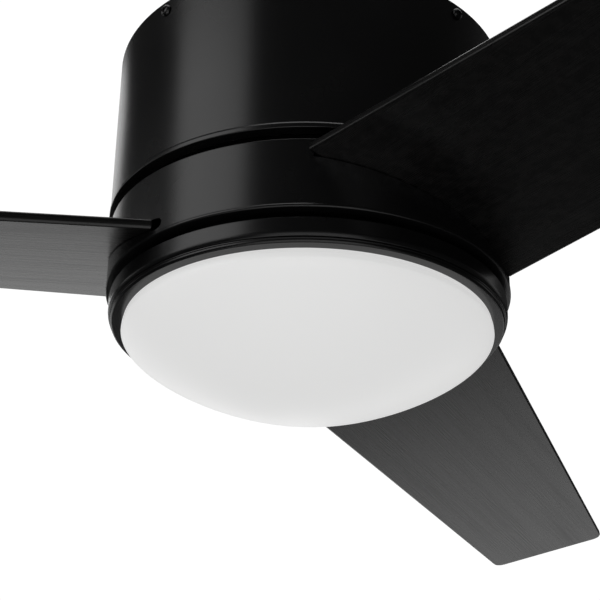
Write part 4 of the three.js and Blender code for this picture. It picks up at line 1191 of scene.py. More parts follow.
@dataclass
class HangerAndShaft:
    """The pressed hanger, its bolts, the hollow shaft and the shaft's nuts."""

    leg_azimuths: tuple[float, ...] = (30.0, 150.0, 270.0)
    leg_width: float = 26.0 * MM
    leg_thickness: float = 3.0 * MM
    foot_outer: float = 112.0 * MM
    foot_inner: float = 90.0 * MM
    hub_radius: float = 36.0 * MM
    hub_top: float = -62.3 * MM
    hub_thickness: float = 4.0 * MM
    leg_overlap: float = 6.0 * MM
    leg_arris: float = 0.35 * MM
    leg_bend: float = 4.0 * MM
    leg_inner_bend: float = 2.0 * MM
    bolt_ring: float = 102.0 * MM
    bolt_radius: float = 2.8 * MM
    bolt_play: float = 0.4 * MM
    shank_overlap: float = 1.0 * MM
    bolt_head: float = 5.5 * MM
    bolt_head_height: float = 4.0 * MM
    shaft_radius: float = 8.5 * MM
    shaft_bore: float = 5.5 * MM
    shaft_round: float = 0.8 * MM
    collar_radius: float = 13.0 * MM
    collar_height: float = 3.4 * MM
    thread_start: float = 4.6 * MM
    thread_end: float = 1.2 * MM
    thread_pitch: float = 1.25 * MM
    thread_depth: float = 0.5 * MM
    gap: float = 0.3 * MM

    def leg(self) -> BMesh:
        """One bent leg along +X, with its bolt hole.

        Returns:
            The leg's solid.
        """
        foot_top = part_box("motor_hanger")[1].z
        foot_low = foot_top - self.leg_thickness
        hub_low = self.hub_top - self.hub_thickness
        reach = self.hub_radius - self.leg_overlap
        side = [
            (self.foot_outer, foot_top),
            (self.foot_inner, foot_top),
            (reach, self.hub_top),
            (reach, hub_low),
            (reach + self.hub_thickness, hub_low),
            (self.foot_inner + self.leg_thickness, foot_low),
            (self.foot_outer, foot_low),
        ]
        half = self.leg_width / 2
        eases = [0.0, self.leg_inner_bend, 0.0, 0.0, 0.0, self.leg_bend, 0.0]
        upright = Matrix.Rotation(math.pi / 2, 4, "X")
        body = moved(raised(side, eases, -half, half, self.leg_arris), upright)
        hole = rod(self.bolt_radius + self.bolt_play, foot_low - OVERCUT, foot_top + OVERCUT)
        return combined(body, moved(hole, Matrix.Translation((self.bolt_ring, 0.0, 0.0))), Join.CUT)

    def hanger(self) -> BMesh:
        """The hub and its three legs as one pressing.

        Returns:
            The hanger's solid.
        """
        hub_low = self.hub_top - self.hub_thickness
        bore = self.shaft_radius + self.gap
        corners = ring_corners(bore, self.hub_radius, hub_low, self.hub_top, ROLLED_EDGE)
        body = turned(corners, Steps.INNER)
        for azimuth in self.leg_azimuths:
            body = combined(body, moved(self.leg(), about_axis(azimuth)), Join.WELD)
        return body

    def bolt(self) -> BMesh:
        """A hexagon-headed bolt at the bolt ring on +X.

        Returns:
            The bolt's solid.
        """
        low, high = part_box("hanger_bolt_1")
        head_top = low.z + self.bolt_head_height
        body = self.hexagon(self.bolt_head, low.z, head_top)
        start = head_top - self.shank_overlap
        shank = rod(self.bolt_radius, start, high.z, ease=FINE_EDGE)
        body = combined(body, shank, Join.WELD)
        return moved(body, Matrix.Translation((self.bolt_ring, 0.0, 0.0)))

    @staticmethod
    def hexagon(radius: float, low: float, high: float) -> BMesh:
        """A hexagonal prism with chamfered corners.

        Args:
            radius: The radius across its corners.
            low: The underside's height.
            high: The top's height.

        Returns:
            The prism's solid.
        """
        angles = [math.radians(angle) for angle in around(6, 0.0)]
        outline = [(radius * math.cos(angle), radius * math.sin(angle)) for angle in angles]
        return raised(outline, [radius * HEXAGON_CORNER] * 6, low, high, radius * HEXAGON_ARRIS)

    def nut(self, node: str) -> BMesh:
        """The hexagon nut of a node, bored for the shaft.

        Args:
            node: The nut's node, which gives its size and height.

        Returns:
            The nut's solid.
        """
        low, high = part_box(node)
        body = self.hexagon(high.x, low.z, high.z)
        bore = rod(self.shaft_radius + self.gap, low.z - OVERCUT, high.z + OVERCUT, Steps.SMALL)
        return combined(body, bore, Join.CUT)

    def shaft(self) -> BMesh:
        """The hollow shaft with its collar and thread grooves above the collar, near its top.

        Returns:
            The shaft's solid.
        """
        low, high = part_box("main_shaft")
        collar_top = self.hub_top - self.hub_thickness - self.gap
        collar_low = collar_top - self.collar_height
        corners = [
            Corner(self.shaft_bore, low.z, ROLLED_EDGE),
            Corner(self.shaft_radius, low.z, self.shaft_round),
            Corner(self.shaft_radius, collar_low, SOFT_EDGE),
            Corner(self.collar_radius, collar_low, SOFT_EDGE),
            Corner(self.collar_radius, collar_top, SOFT_EDGE),
            Corner(self.shaft_radius, collar_top),
            *self.thread(collar_top + self.thread_start, high.z - self.thread_end),
            Corner(self.shaft_radius, high.z, self.shaft_round),
            Corner(self.shaft_bore, high.z, ROLLED_EDGE),
        ]
        return turned(corners, Steps.SMALL, 3)

    def thread(self, low: float, high: float) -> list[Corner]:
        """Thread ridges along the shaft's top, between two heights.

        Args:
            low: Where the thread starts.
            high: Where it ends.

        Returns:
            The corners of its ridges, from the bottom up.
        """
        pitch = self.thread_pitch
        root = self.shaft_radius - self.thread_depth
        corners = []
        for turn in range(int((high - low) / pitch)):
            base = low + turn * pitch
            corners.append(Corner(self.shaft_radius, base))
            corners.append(Corner(root, base + pitch / 2))
        return corners

    def build(self, shop: Workshop) -> None:
        """Builds the hanger, its bolts, the shaft and the nuts.

        Args:
            shop: The workshop that finishes the pieces.
        """
        shop.piece("motor_hanger", self.hanger(), Body.FIXED, Slot.ZINC_STEEL)
        bolt = self.bolt()
        for index, azimuth in enumerate(self.leg_azimuths):
            body = moved(bolt.copy(), about_axis(azimuth))
            shop.piece(f"hanger_bolt_{index + 1}", body, Body.FIXED, Slot.ZINC_STEEL)
        bolt.free()
        shop.piece("main_shaft", self.shaft(), Body.FIXED, Slot.ZINC_STEEL)
        shop.piece("shaft_lock_nut", self.nut("shaft_lock_nut"), Body.FIXED, Slot.ZINC_STEEL)
        shop.piece("light_nut", self.nut("light_nut"), Body.FIXED, Slot.ZINC_STEEL)


# ---------- drum ----------


@dataclass
class BladePlace:
    """Where the blades sit: each board's pitched plane and its four edges."""

    azimuths: tuple[float, ...] = (65.58, 185.58, 305.58)
    pitch: float = -10.68
    underside: float = -152.4 * MM
    thickness: float = 6.3 * MM
    root: float = 105.5 * MM
    tip: float = 655.0 * MM
    trailing: float = 85.7 * MM
    trailing_slope: float = -0.0084
    leading: float = -90.1 * MM
    leading_slope: float = 0.0896
    end_skew: float = 0.0406

    def matrix(self, azimuth: float) -> Matrix:
        """From a board drawn flat along +X to its place on the drum."""
        tilt = Matrix.Rotation(math.radians(self.pitch), 4, "X")
        return about_axis(azimuth) @ Matrix.Translation((0.0, 0.0, self.underside)) @ tilt

    def corner(self, x: float, offset: float, slope: float) -> Point2:
        """Where an edge meets the end that crosses the middle line at x."""
        start = (x - self.end_skew * offset) / (1.0 + self.end_skew * slope)
        return start, offset + slope * start


@dataclass
class Drum:
    """The turning drum with its neck, floor, rolled edges and blade slots."""

    blades: BladePlace
    wall: float = 1.5 * MM
    neck_radius: float = 119.5 * MM
    neck_height: float = 9.5 * MM
    floor_hole: float = 50.0 * MM
    bead: float = 0.35 * MM
    bead_height: float = 1.9 * MM
    bead_round: float = 0.25 * MM
    edge_reach: float = 1.1 * MM
    edge_rise: float = 0.75 * MM
    shoulder: float = 0.9 * MM
    neck_round: float = 0.6 * MM
    floor_round: float = 0.8 * MM
    slot_clearance: float = 0.6 * MM
    slot_leading_clearance: float = 2.2 * MM
    slot_trailing_clearance: float = 3.6 * MM
    slot_leading_corner: float = 1.5 * MM
    slot_trailing_corner: float = 3.6 * MM
    slot_inward: float = 20.0 * MM
    screw_ring: float = 60.0 * MM
    screw_azimuths: tuple[float, ...] = (5.58, 125.58, 245.58)
    screw_hole: float = 2.6 * MM
    screw_radius: float = 2.2 * MM
    screw_head: float = 4.4 * MM
    screw_head_height: float = 2.1 * MM

    def slot(self, azimuth: float, outer: float) -> BMesh:
        """The cutting body of one blade slot.

        Args:
            azimuth: The blade's azimuth in degrees.
            outer: The drum wall's outer radius.

        Returns:
            The cutting body in its place.
        """
        place = self.blades
        root_start, root_offset = place.corner(place.root, place.leading, place.leading_slope)
        crossing = math.sqrt(outer**2 - root_start**2) / math.cos(math.radians(place.pitch))
        high_side = max(-crossing, root_offset) - self.slot_leading_clearance
        low_side = place.trailing + place.trailing_slope * place.root + self.slot_trailing_clearance
        outline = [
            (high_side, -self.slot_clearance),
            (low_side, -self.slot_clearance),
            (low_side, place.thickness + self.slot_clearance),
            (high_side, place.thickness + self.slot_clearance),
        ]
        eases = [
            self.slot_leading_corner,
            self.slot_trailing_corner,
            self.slot_trailing_corner,
            self.slot_leading_corner,
        ]
        body = raised(outline, eases, place.root - self.slot_inward, outer + OVERCUT, 0.0)
        stand = Matrix.Rotation(math.pi / 2, 4, "Z") @ Matrix.Rotation(math.pi / 2, 4, "X")
        return moved(body, place.matrix(azimuth) @ stand)

    def shell(self) -> BMesh:
        """The spun drum, cut for its blades and screws.

        Returns:
            The drum's solid.
        """
        low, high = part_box("drum_shell")
        outer = high.x
        top = high.z - self.neck_height
        inner = outer - self.wall
        neck_inner = self.neck_radius - self.wall
        groove = low.z + self.bead_height
        corners = [
            Corner(self.floor_hole, low.z, CUT_EDGE),
            Corner(outer + self.bead - self.edge_reach, low.z),
            Corner(outer + self.bead, low.z + self.edge_rise, ROLLED_EDGE),
            Corner(outer + self.bead, groove, self.bead_round),
            Corner(outer, groove + self.bead, self.bead_round),
            Corner(outer, top, self.shoulder),
            Corner(self.neck_radius, top, self.neck_round),
            Corner(self.neck_radius, high.z, ROLLED_EDGE),
            Corner(neck_inner, high.z, ROLLED_EDGE),
            Corner(neck_inner, top - self.wall, SOFT_EDGE),
            Corner(inner, top - self.wall, SOFT_EDGE),
            Corner(inner, low.z + self.wall, self.floor_round),
            Corner(self.floor_hole, low.z + self.wall, CUT_EDGE),
        ]
        body = turned(corners, Steps.SHELL)
        for azimuth in self.blades.azimuths:
            body = combined(body, self.slot(azimuth, outer), Join.CUT)
        hole = rod(self.screw_hole, low.z - OVERCUT, low.z + self.wall + OVERCUT)
        moved(hole, Matrix.Translation((self.screw_ring, 0.0, 0.0)))
        holes = copies(hole, [about_axis(azimuth) for azimuth in self.screw_azimuths])
        return combined(body, holes, Join.CUT)

    def build(self, shop: Workshop) -> None:
        """Builds the drum and its three screws.

        Args:
            shop: The workshop that finishes the pieces.
        """
        shop.piece("drum_shell", self.shell(), Body.ROTOR, Slot.SATIN_BLACK)
        low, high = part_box("drum_screw_1")
        head_height = self.screw_head_height
        length = high.z - low.z - head_height
        screw = PanScrew(self.screw_radius, length, self.screw_head, head_height).solid()
        seat = Matrix.Translation((self.screw_ring, 0.0, low.z + head_height))
        for index, azimuth in enumerate(self.screw_azimuths):
            body = moved(screw.copy(), about_axis(azimuth) @ seat)
            shop.piece(f"drum_screw_{index + 1}", body, Body.ROTOR, Slot.SATIN_BLACK)
        screw.free()


# ---------- blades ----------


@dataclass
class BladeSet:
    """The three blades, the arms that carry them and their screws."""

    place: BladePlace
    root_corner: float = 0.8 * MM
    tip_corner: float = 9.0 * MM
    arris: float = 1.8 * MM
    arm_thickness: float = 3.0 * MM
    foot_start: float = 81.2 * MM
    foot_half: float = 26.0 * MM
    foot_low: float = -145.7 * MM
    plate_start: float = 97.0 * MM
    plate_end: float = 118.0 * MM
    plate_half: float = 38.0 * MM
    foot_overlap: float = 4.0 * MM
    foot_corner: float = 2.0 * MM
    plate_corner: float = 4.0 * MM
    gap: float = 0.3 * MM
    screw_radius: float = 2.2 * MM
    screw_head: float = 4.4 * MM
    screw_head_height: float = 2.6 * MM
    blade_screw_length: float = 11.2 * MM
    arm_screw_length: float = 7.6 * MM
    blade_screws: tuple[Point2, ...] = (
        (113.0 * MM, -27.0 * MM),
        (114.0 * MM, 0.0),
        (111.5 * MM, 27.0 * MM),
    )
    arm_screws: tuple[Point2, ...] = ((87.5 * MM, -16.0 * MM), (87.5 * MM, 16.0 * MM))

    def board(self) -> BMesh:
        """One tapered board drawn flat, mapped along its length.

        Returns:
            The board's solid, with its map for the grain.
        """
        place = self.place
        outline = [
            place.corner(place.root, place.leading, place.leading_slope),
            place.corner(place.tip, place.leading, place.leading_slope),
            place.corner(place.tip, place.trailing, place.trailing_slope),
            place.corner(place.root, place.trailing, place.trailing_slope),
        ]
        eases = [self.root_corner, self.tip_corner, self.tip_corner, self.root_corner]
        body = raised(outline, eases, 0.0, place.thickness, self.arris)
        layer = body.loops.layers.uv.new(BladeVeneer.grain_map)
        for face in body.faces:
            for loop in face.loops:
                x, y, z = loop.vert.co
                loop[layer].uv = (x, y + z)
        return body

    def arm(self, azimuth: float) -> BMesh:
        """One arm in place: a level foot and a pitched plate.

        Args:
            azimuth: The blade's azimuth in degrees.

        Returns:
            The arm's solid.
        """
        foot = brick(
            (self.foot_start, self.plate_start + self.foot_overlap),
            (-self.foot_half, self.foot_half),
            (self.foot_low, self.foot_low + self.arm_thickness),
            self.foot_corner,
            CUT_EDGE,
        )
        low = self.place.thickness + self.gap
        top = brick(
            (self.plate_start, self.plate_end),
            (-self.plate_half, self.plate_half),
            (low, low + self.arm_thickness),
            self.plate_corner,
            CUT_EDGE,
        )
        moved(foot, about_axis(azimuth))
        moved(top, self.place.matrix(azimuth))
        return combined(foot, top, Join.WELD)

    def build(self, shop: Workshop) -> None:
        """Builds every blade with its arm and screws.

        Args:
            shop: The workshop that finishes the pieces.
        """
        hold, clamp = (
            PanScrew(self.screw_radius, length, self.screw_head, self.screw_head_height).solid()
            for length in (self.blade_screw_length, self.arm_screw_length)
        )
        clamp_seat = self.foot_low + self.arm_thickness + self.gap
        board = self.board()
        for index, azimuth in enumerate(self.place.azimuths):
            number = index + 1
            matrix = self.place.matrix(azimuth)
            shop.piece(f"blade_{number}", moved(board.copy(), matrix), Body.ROTOR, Slot.BLADE_BLACK)
            shop.piece(f"blade_arm_{number}", self.arm(azimuth), Body.ROTOR, Slot.ZINC_STEEL)
            for place, (x, y) in enumerate(self.blade_screws):
                body = moved(hold.copy(), matrix @ Matrix.Translation((x, y, -self.gap)))
                shop.piece(f"blade_{number}_screw_{place + 1}", body, Body.ROTOR, Slot.SATIN_BLACK)
            for place, (x, y) in enumerate(self.arm_screws):
                seat = Matrix.Translation((x, y, clamp_seat)) @ Matrix.Rotation(math.pi, 4, "X")
                body = moved(clamp.copy(), about_axis(azimuth) @ seat)
                shop.piece(f"arm_{number}_screw_{place + 1}", body, Body.ROTOR, Slot.ZINC_STEEL)
        for body in (hold, clamp, board):
            body.free()


# ---------- motor ----------


@dataclass
class Motor:
    """The outer-rotor motor: stator, coils, rotor ring, covers and bearings."""

    slots: int = 12
    stator_radius: float = 65.0 * MM
    tooth_root: float = 28.0 * MM
    shoe_radius: float = 57.0 * MM
    tooth_half: float = 6.0 * MM
    shoe_rise: float = 3.0 * MM
    shoe_angle: float = 12.6
    shoe_steps: int = 3
    shaft_radius: float = 8.8 * MM
    coil_inner: float = 31.0 * MM
    coil_outer: float = 55.0 * MM
    coil_overhang: float = 6.0 * MM
    coil_round: float = 2.6 * MM
    strand_inset: float = 4.0 * MM
    strand_outset: float = 1.0 * MM
    strand_half: float = 1.5 * MM
    strand_end: float = 3.0 * MM
    strand_corner: float = 0.8 * MM
    wall: float = 2.5 * MM
    hub_inner: float = 20.1 * MM
    hub_wall: float = 3.4 * MM
    hub_depth: float = 10.4 * MM
    cover_round: float = 2.0 * MM
    hub_round: float = 0.6 * MM
    ring_inner: float = 65.6 * MM
    ring_outer: float = 77.6 * MM
    ring_gap: float = 0.3 * MM
    flange_radius: float = 94.0 * MM
    flange_thickness: float = 3.0 * MM
    flange_round: float = 0.8 * MM
    screw_hole: float = 2.6 * MM
    outer_race_bore: float = 16.6 * MM
    ball_pitch: float = 14.3 * MM
    ball_radius: float = 2.0 * MM
    balls: int = 8
    cage_half: float = 0.5 * MM
    cage_half_height: float = 0.9 * MM

    def core(self) -> BMesh:
        """The stator core's toothed stack.

        Returns:
            The core's solid.
        """
        low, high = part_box("stator_core")
        root = math.asin(self.tooth_half / self.tooth_root)
        neck = math.asin(self.tooth_half / self.shoe_radius)
        shoe = math.radians(self.shoe_angle)
        steps = self.shoe_steps
        tooth = [
            (self.tooth_root, -root),
            (self.shoe_radius, -neck),
            (self.shoe_radius + self.shoe_rise, -shoe),
            *((self.stator_radius, shoe * step / steps) for step in range(-steps, steps + 1)),
            (self.shoe_radius + self.shoe_rise, shoe),
            (self.shoe_radius, neck),
            (self.tooth_root, root),
        ]
        outline = [
            (radius * math.cos(math.radians(middle) + turn), radius * math.sin(math.radians(middle) + turn))
            for middle in around(self.slots, 0.0)
            for radius, turn in tooth
        ]
        body = raised(outline, [0.0] * len(outline), low.z, high.z, 0.0)
        bore = rod(self.shaft_radius, low.z - OVERCUT, high.z + OVERCUT, Steps.SMALL)
        return combined(body, bore, Join.CUT)

    def winding(self) -> BMesh:
        """The coils' end bundles, and a strand through each slot.

        Returns:
            The winding's solid.
        """
        low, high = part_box("stator_winding")
        bundles = []
        for base, top in ((low.z, low.z + self.coil_overhang), (high.z - self.coil_overhang, high.z)):
            corners = ring_corners(self.coil_inner, self.coil_outer, base, top, self.coil_round)
            bundles.append(turned(corners, Steps.INNER, 5))
        strand = brick(
            (self.coil_inner + self.strand_inset, self.coil_outer - self.strand_outset),
            (-self.strand_half, self.strand_half),
            (low.z + self.strand_end, high.z - self.strand_end),
            self.strand_corner,
            0.0,
        )
        between = around(self.slots, 180.0 / self.slots)
        strands = copies(strand, [about_axis(azimuth) for azimuth in between])
        return combined(gathered(bundles), strands, Join.WELD)

    def upper_cover(self) -> BMesh:
        """The upper cover, a cup open below with a bearing hub.

        Returns:
            The cover's solid.
        """
        low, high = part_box("rotor_upper_cover")
        inner = self.ring_outer + self.ring_gap
        disc = high.z - self.wall
        corners = [
            Corner(self.hub_inner, high.z - self.hub_depth, CUT_EDGE),
            Corner(self.hub_inner + self.hub_wall, high.z - self.hub_depth, self.hub_round),
            Corner(self.hub_inner + self.hub_wall, disc, BENT_EDGE),
            Corner(inner, disc, BENT_EDGE),
            Corner(inner, low.z, FINE_EDGE),
            Corner(inner + self.wall, low.z, FINE_EDGE),
            Corner(inner + self.wall, high.z, self.cover_round),
            Corner(self.hub_inner, high.z, CUT_EDGE),
        ]
        return turned(corners, Steps.INNER)

    def lower_cover(self, place: BladePlace, arm_screws: Iterable[Point2], drum: Drum) -> BMesh:
        """The lower cover with its flange, drilled for the arms and the drum.

        Args:
            place: Where the blades sit.
            arm_screws: The arms' screw places in one arm's frame.
            drum: The drum, for its screw ring.

        Returns:
            The cover's solid.
        """
        low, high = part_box("rotor_lower_cover")
        inner = self.ring_outer + self.ring_gap
        disc = low.z + self.wall
        flange = high.z - self.flange_thickness
        corners = [
            Corner(self.hub_inner, low.z, CUT_EDGE),
            Corner(inner + self.wall, low.z, self.cover_round),
            Corner(inner + self.wall, flange, self.flange_round),
            Corner(self.flange_radius, flange, ROLLED_EDGE),
            Corner(self.flange_radius, high.z, ROLLED_EDGE),
            Corner(inner, high.z, FINE_EDGE),
            Corner(inner, disc, BENT_EDGE),
            Corner(self.hub_inner + self.hub_wall, disc, BENT_EDGE),
            Corner(self.hub_inner + self.hub_wall, low.z + self.hub_depth, self.hub_round),
            Corner(self.hub_inner, low.z + self.hub_depth, CUT_EDGE),
        ]
        hole = rod(self.screw_hole, low.z - OVERCUT, high.z + OVERCUT)
        seats = [
            about_axis(azimuth) @ Matrix.Translation((x, y, 0.0))
            for azimuth in place.azimuths
            for x, y in arm_screws
        ]
        ring = Matrix.Translation((drum.screw_ring, 0.0, 0.0))
        seats += [about_axis(azimuth) @ ring for azimuth in drum.screw_azimuths]
        return combined(turned(corners, Steps.INNER), copies(hole, seats), Join.CUT)

    def balls_and_cage(self, node: str) -> BMesh:
        """A bearing's balls in their pressed cage.

        Args:
            node: The bearing's node, which gives its height.

        Returns:
            The balls and the cage as one solid.
        """
        low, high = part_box(node)
        middle = (low.z + high.z) / 2
        cage = turned(
            ring_corners(
                self.ball_pitch - self.cage_half,
                self.ball_pitch + self.cage_half,
                middle - self.cage_half_height,
                middle + self.cage_half_height,
                FINE_EDGE,
            ),
            Steps.SMALL,
            2,
        )
        ball = bmesh.new()
        bmesh.ops.create_icosphere(ball, subdivisions=3, radius=self.ball_radius)
        moved(ball, Matrix.Translation((self.ball_pitch, 0.0, middle)))
        balls = copies(ball, [about_axis(azimuth) for azimuth in around(self.balls, 0.0)])
        return combined(cage, balls, Join.WELD)

    def race(self, node: str, bore: float) -> BMesh:
        """A bearing race with eased corners."""
        low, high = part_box(node)
        return turned(ring_corners(bore, high.x, low.z, high.z, ROLLED_EDGE), Steps.INNER, 3)

    def build(self, shop: Workshop, place: BladePlace, arm_screws: Iterable[Point2], drum: Drum) -> None:
        """Builds the motor's pieces.

        Args:
            shop: The workshop.
            place: Where the blades sit.
            arm_screws: The arms' screw places in one arm's frame.
            drum: The drum, for its screw ring.
        """
        shop.piece("stator_core", self.core(), Body.FIXED, Slot.MOTOR_STEEL)
        shop.piece("stator_winding", self.winding(), Body.FIXED, Slot.COIL_COPPER)
        low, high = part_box("rotor_ring")
        ring = turned(ring_corners(self.ring_inner, high.x, low.z, high.z, CUT_EDGE), Steps.INNER)
        shop.piece("rotor_ring", ring, Body.ROTOR, Slot.MOTOR_STEEL)
        shop.piece("rotor_upper_cover", self.upper_cover(), Body.ROTOR, Slot.CAST_ALUMINIUM)
        cover = self.lower_cover(place, arm_screws, drum)
        shop.piece("rotor_lower_cover", cover, Body.ROTOR, Slot.CAST_ALUMINIUM)
        for end, rides in (("upper", Body.UPPER_BALLS), ("lower", Body.LOWER_BALLS)):
            inner = self.race(f"{end}_bearing_inner_race", self.shaft_radius)
            outer = self.race(f"{end}_bearing_outer_race", self.outer_race_bore)
            shop.piece(f"{end}_bearing_inner_race", inner, Body.FIXED, Slot.BEARING_STEEL)
            shop.piece(f"{end}_bearing_outer_race", outer, Body.ROTOR, Slot.BEARING_STEEL)
            balls = self.balls_and_cage(f"{end}_bearing_balls")
            shop.piece(f"{end}_bearing_balls", balls, rides, Slot.BEARING_STEEL)


# ---------- light ----------


@dataclass
class LightKit:
    """The pan, the bezel, the opal lens, its twist lock and what lights it."""

    wall: float = 1.5 * MM
    bore: float = 8.8 * MM
    neck_radius: float = 113.5 * MM
    neck_height: float = 3.6 * MM
    pan_taper: float = 1.3 * MM
    pan_taper_height: float = 5.1 * MM
    pan_edge_reach: float = 1.1 * MM
    pan_edge_rise: float = 1.8 * MM
    pan_edge_round: float = 1.4 * MM
    pan_shoulder: float = 0.7 * MM
    pan_bend: float = 0.8 * MM
    bezel_bore: float = 118.4 * MM
    collar_inner: float = 121.6 * MM
    collar_outer: float = 125.2 * MM
    bezel_height: float = 3.15 * MM
    lip_height: float = 3.75 * MM
    toe_reach: float = 1.4 * MM
    toe_rise: float = 0.05 * MM
    toe_round: float = 0.7 * MM
    cheek_reach: float = 0.5 * MM
    cheek_rise: float = 1.15 * MM
    groove_reach: float = 0.55 * MM
    groove_drop: float = 1.0 * MM
    groove_round: float = 0.15 * MM
    bead_drop: float = 0.85 * MM
    bead_round: float = 0.35 * MM
    lens_radius: float = 118.0 * MM
    lens_thickness: float = 2.5 * MM
    bulge: float = 1.0113
    shoulder_drop: float = 5.3 * MM
    rim_reach: float = 0.25 * MM
    rim_drop: float = 2.4 * MM
    rim_round: float = 0.6 * MM
    collar_play: float = 0.1 * MM
    collar_drop: float = 0.5 * MM
    inner_rise: float = 0.5 * MM
    swell: float = 0.24
    swell_power: float = 4.8
    bowl_steps: int = 64
    gap: float = 0.3 * MM
    lock_azimuths: tuple[float, ...] = (90.0, 210.0, 330.0)
    lock_root: float = 1.0 * MM
    tab_angle: float = 10.0
    tab_reach: float = 5.0 * MM
    tab_height: float = 1.7 * MM
    tab_inset: float = 0.05 * MM
    lug_angle: float = 16.0
    lug_reach: float = 6.0 * MM
    lug_height: float = 1.5 * MM
    tray_room: float = 10.0 * MM
    tray_wall: float = 1.2 * MM
    tray_bend: float = 0.6 * MM
    board_radius: float = 95.0 * MM
    driver_corner: float = 1.5 * MM
    chip_half: float = 2.5 * MM
    chip_height: float = 0.9 * MM
    chip_sink: float = 0.6 * MM
    chip_arris: float = 0.15 * MM
    chip_rings: tuple[tuple[int, float], ...] = ((6, 34.0 * MM), (12, 76.0 * MM))

    def pan(self) -> BMesh:
        """The spun pan whose side is the band above the bezel.

        Returns:
            The pan's solid.
        """
        low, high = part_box("light_pan")
        outer = high.x
        inner = outer - self.wall
        top = high.z - self.neck_height
        under = top - self.wall
        neck_inner = self.neck_radius - self.wall
        corners = [
            Corner(self.bore, under, CUT_EDGE),
            Corner(inner, under, self.pan_bend),
            Corner(inner, low.z + self.pan_taper_height),
            Corner(inner - self.pan_taper, low.z, FINE_EDGE),
            Corner(outer - self.pan_edge_reach, low.z, ROLLED_EDGE),
            Corner(outer, low.z + self.pan_edge_rise, self.pan_edge_round),
            Corner(outer, top, self.pan_shoulder),
            Corner(self.neck_radius, top, ROLLED_EDGE),
            Corner(self.neck_radius, high.z, CUT_EDGE),
            Corner(neck_inner, high.z, CUT_EDGE),
            Corner(neck_inner, top, CUT_EDGE),
            Corner(self.bore, top, CUT_EDGE),
        ]
        return turned(corners, Steps.SHELL)

    @staticmethod
    def sector(
        inner: float, outer: float, low: float, high: float, middle: float, angle: float
    ) -> BMesh:
        """A sector of a ring.

        Args:
            inner: The inner radius.
            outer: The outer radius.
            low: The underside's height.
            high: The top's height.
            middle: The azimuth of its middle in degrees.
            angle: How many degrees it spans.

        Returns:
            The sector's solid.
        """
        body = bmesh.new()
        corners = [(inner, low), (outer, low), (outer, high), (inner, high)]
        face = body.faces.new([body.verts.new((radius, 0.0, height)) for radius, height in corners])
        moved(body, about_axis(middle - angle / 2))
        bmesh.ops.spin(
            body,
            geom=[face],
            cent=(0.0, 0.0, 0.0),
            axis=UP,
            dvec=(0.0, 0.0, 0.0),
            angle=math.radians(angle),
            steps=10,
            use_merge=False,
            use_normal_flip=False,
            use_duplicate=False,
        )
        return merge_close(body)

    def bezel(self) -> BMesh:
        """The bezel ring with its bead and rounded face.

        Returns:
            The bezel's solid.
        """
        low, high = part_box("bezel_ring")
        top = low.z + self.bezel_height
        outer = high.x
        lip_top = low.z + self.lip_height
        corners = [
            Corner(self.bezel_bore, low.z, CUT_EDGE),
            Corner(outer - self.toe_reach, low.z + self.toe_rise, self.toe_round),
            Corner(outer - self.cheek_reach, low.z + self.cheek_rise, ROLLED_EDGE),
            Corner(outer - self.groove_reach, top - self.groove_drop, self.groove_round),
            Corner(outer, top - self.bead_drop, FINE_EDGE),
            Corner(outer, top, self.bead_round),
            Corner(self.collar_outer, top, FINE_EDGE),
            Corner(self.collar_outer, high.z, CUT_EDGE),
            Corner(self.collar_inner, high.z, CUT_EDGE),
            Corner(self.collar_inner, lip_top, CUT_EDGE),
            Corner(self.bezel_bore, lip_top, CUT_EDGE),
        ]
        return turned(corners, Steps.SHELL)

    def lens(self) -> BMesh:
        """The opal bowl with its collar and the inward tabs of its twist lock.

        Returns:
            The lens's solid.
        """
        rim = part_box("bezel_ring")[0].z
        low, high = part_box("dome_lens")
        shoulder = rim - self.shoulder_drop
        depth = shoulder - low.z
        bulge = self.lens_radius * self.bulge
        inner = bulge - self.lens_thickness
        collar_outer = self.lens_radius - self.collar_play
        collar_inner = self.lens_radius - self.lens_thickness
        rise = self.inner_rise
        corners = [
            *self.bowl(bulge, shoulder, depth),
            Corner(bulge - self.rim_reach, rim - self.rim_drop, self.rim_round),
            Corner(collar_outer, rim - self.collar_drop, ROLLED_EDGE),
            Corner(collar_outer, high.z, ROLLED_EDGE),
            Corner(collar_inner, high.z, ROLLED_EDGE),
            Corner(collar_inner, rim, ROLLED_EDGE),
            *reversed(self.bowl(inner, shoulder + rise, depth - self.lens_thickness + rise)),
        ]
        tabs = [
            self.sector(
                collar_inner - self.tab_reach,
                collar_inner + self.lock_root,
                high.z - self.tab_height,
                high.z - self.tab_inset,
                azimuth,
                self.tab_angle,
            )
            for azimuth in self.lock_azimuths
        ]
        return combined(turned(corners, Steps.SHELL), gathered(tabs), Join.WELD)

    def bowl(self, radius: float, level: float, depth: float) -> list[Corner]:
        """A bowl's section from its lowest point on the axis up to its widest level.

        Args:
            radius: The widest radius.
            level: The height of the widest radius.
            depth: How far the bowl hangs below that level.

        Returns:
            The section's corners: a parabola that swells to a round shoulder near its rim.
        """
        corners = []
        for step in range(self.bowl_steps + 1):
            across = math.sin(math.pi / 2 * step / self.bowl_steps)
            upright = math.sqrt(max(0.0, 1.0 - across**2))
            down = upright**2 + self.swell * across**self.swell_power * upright
            corners.append(Corner(radius * across, level - depth * down))
        return corners

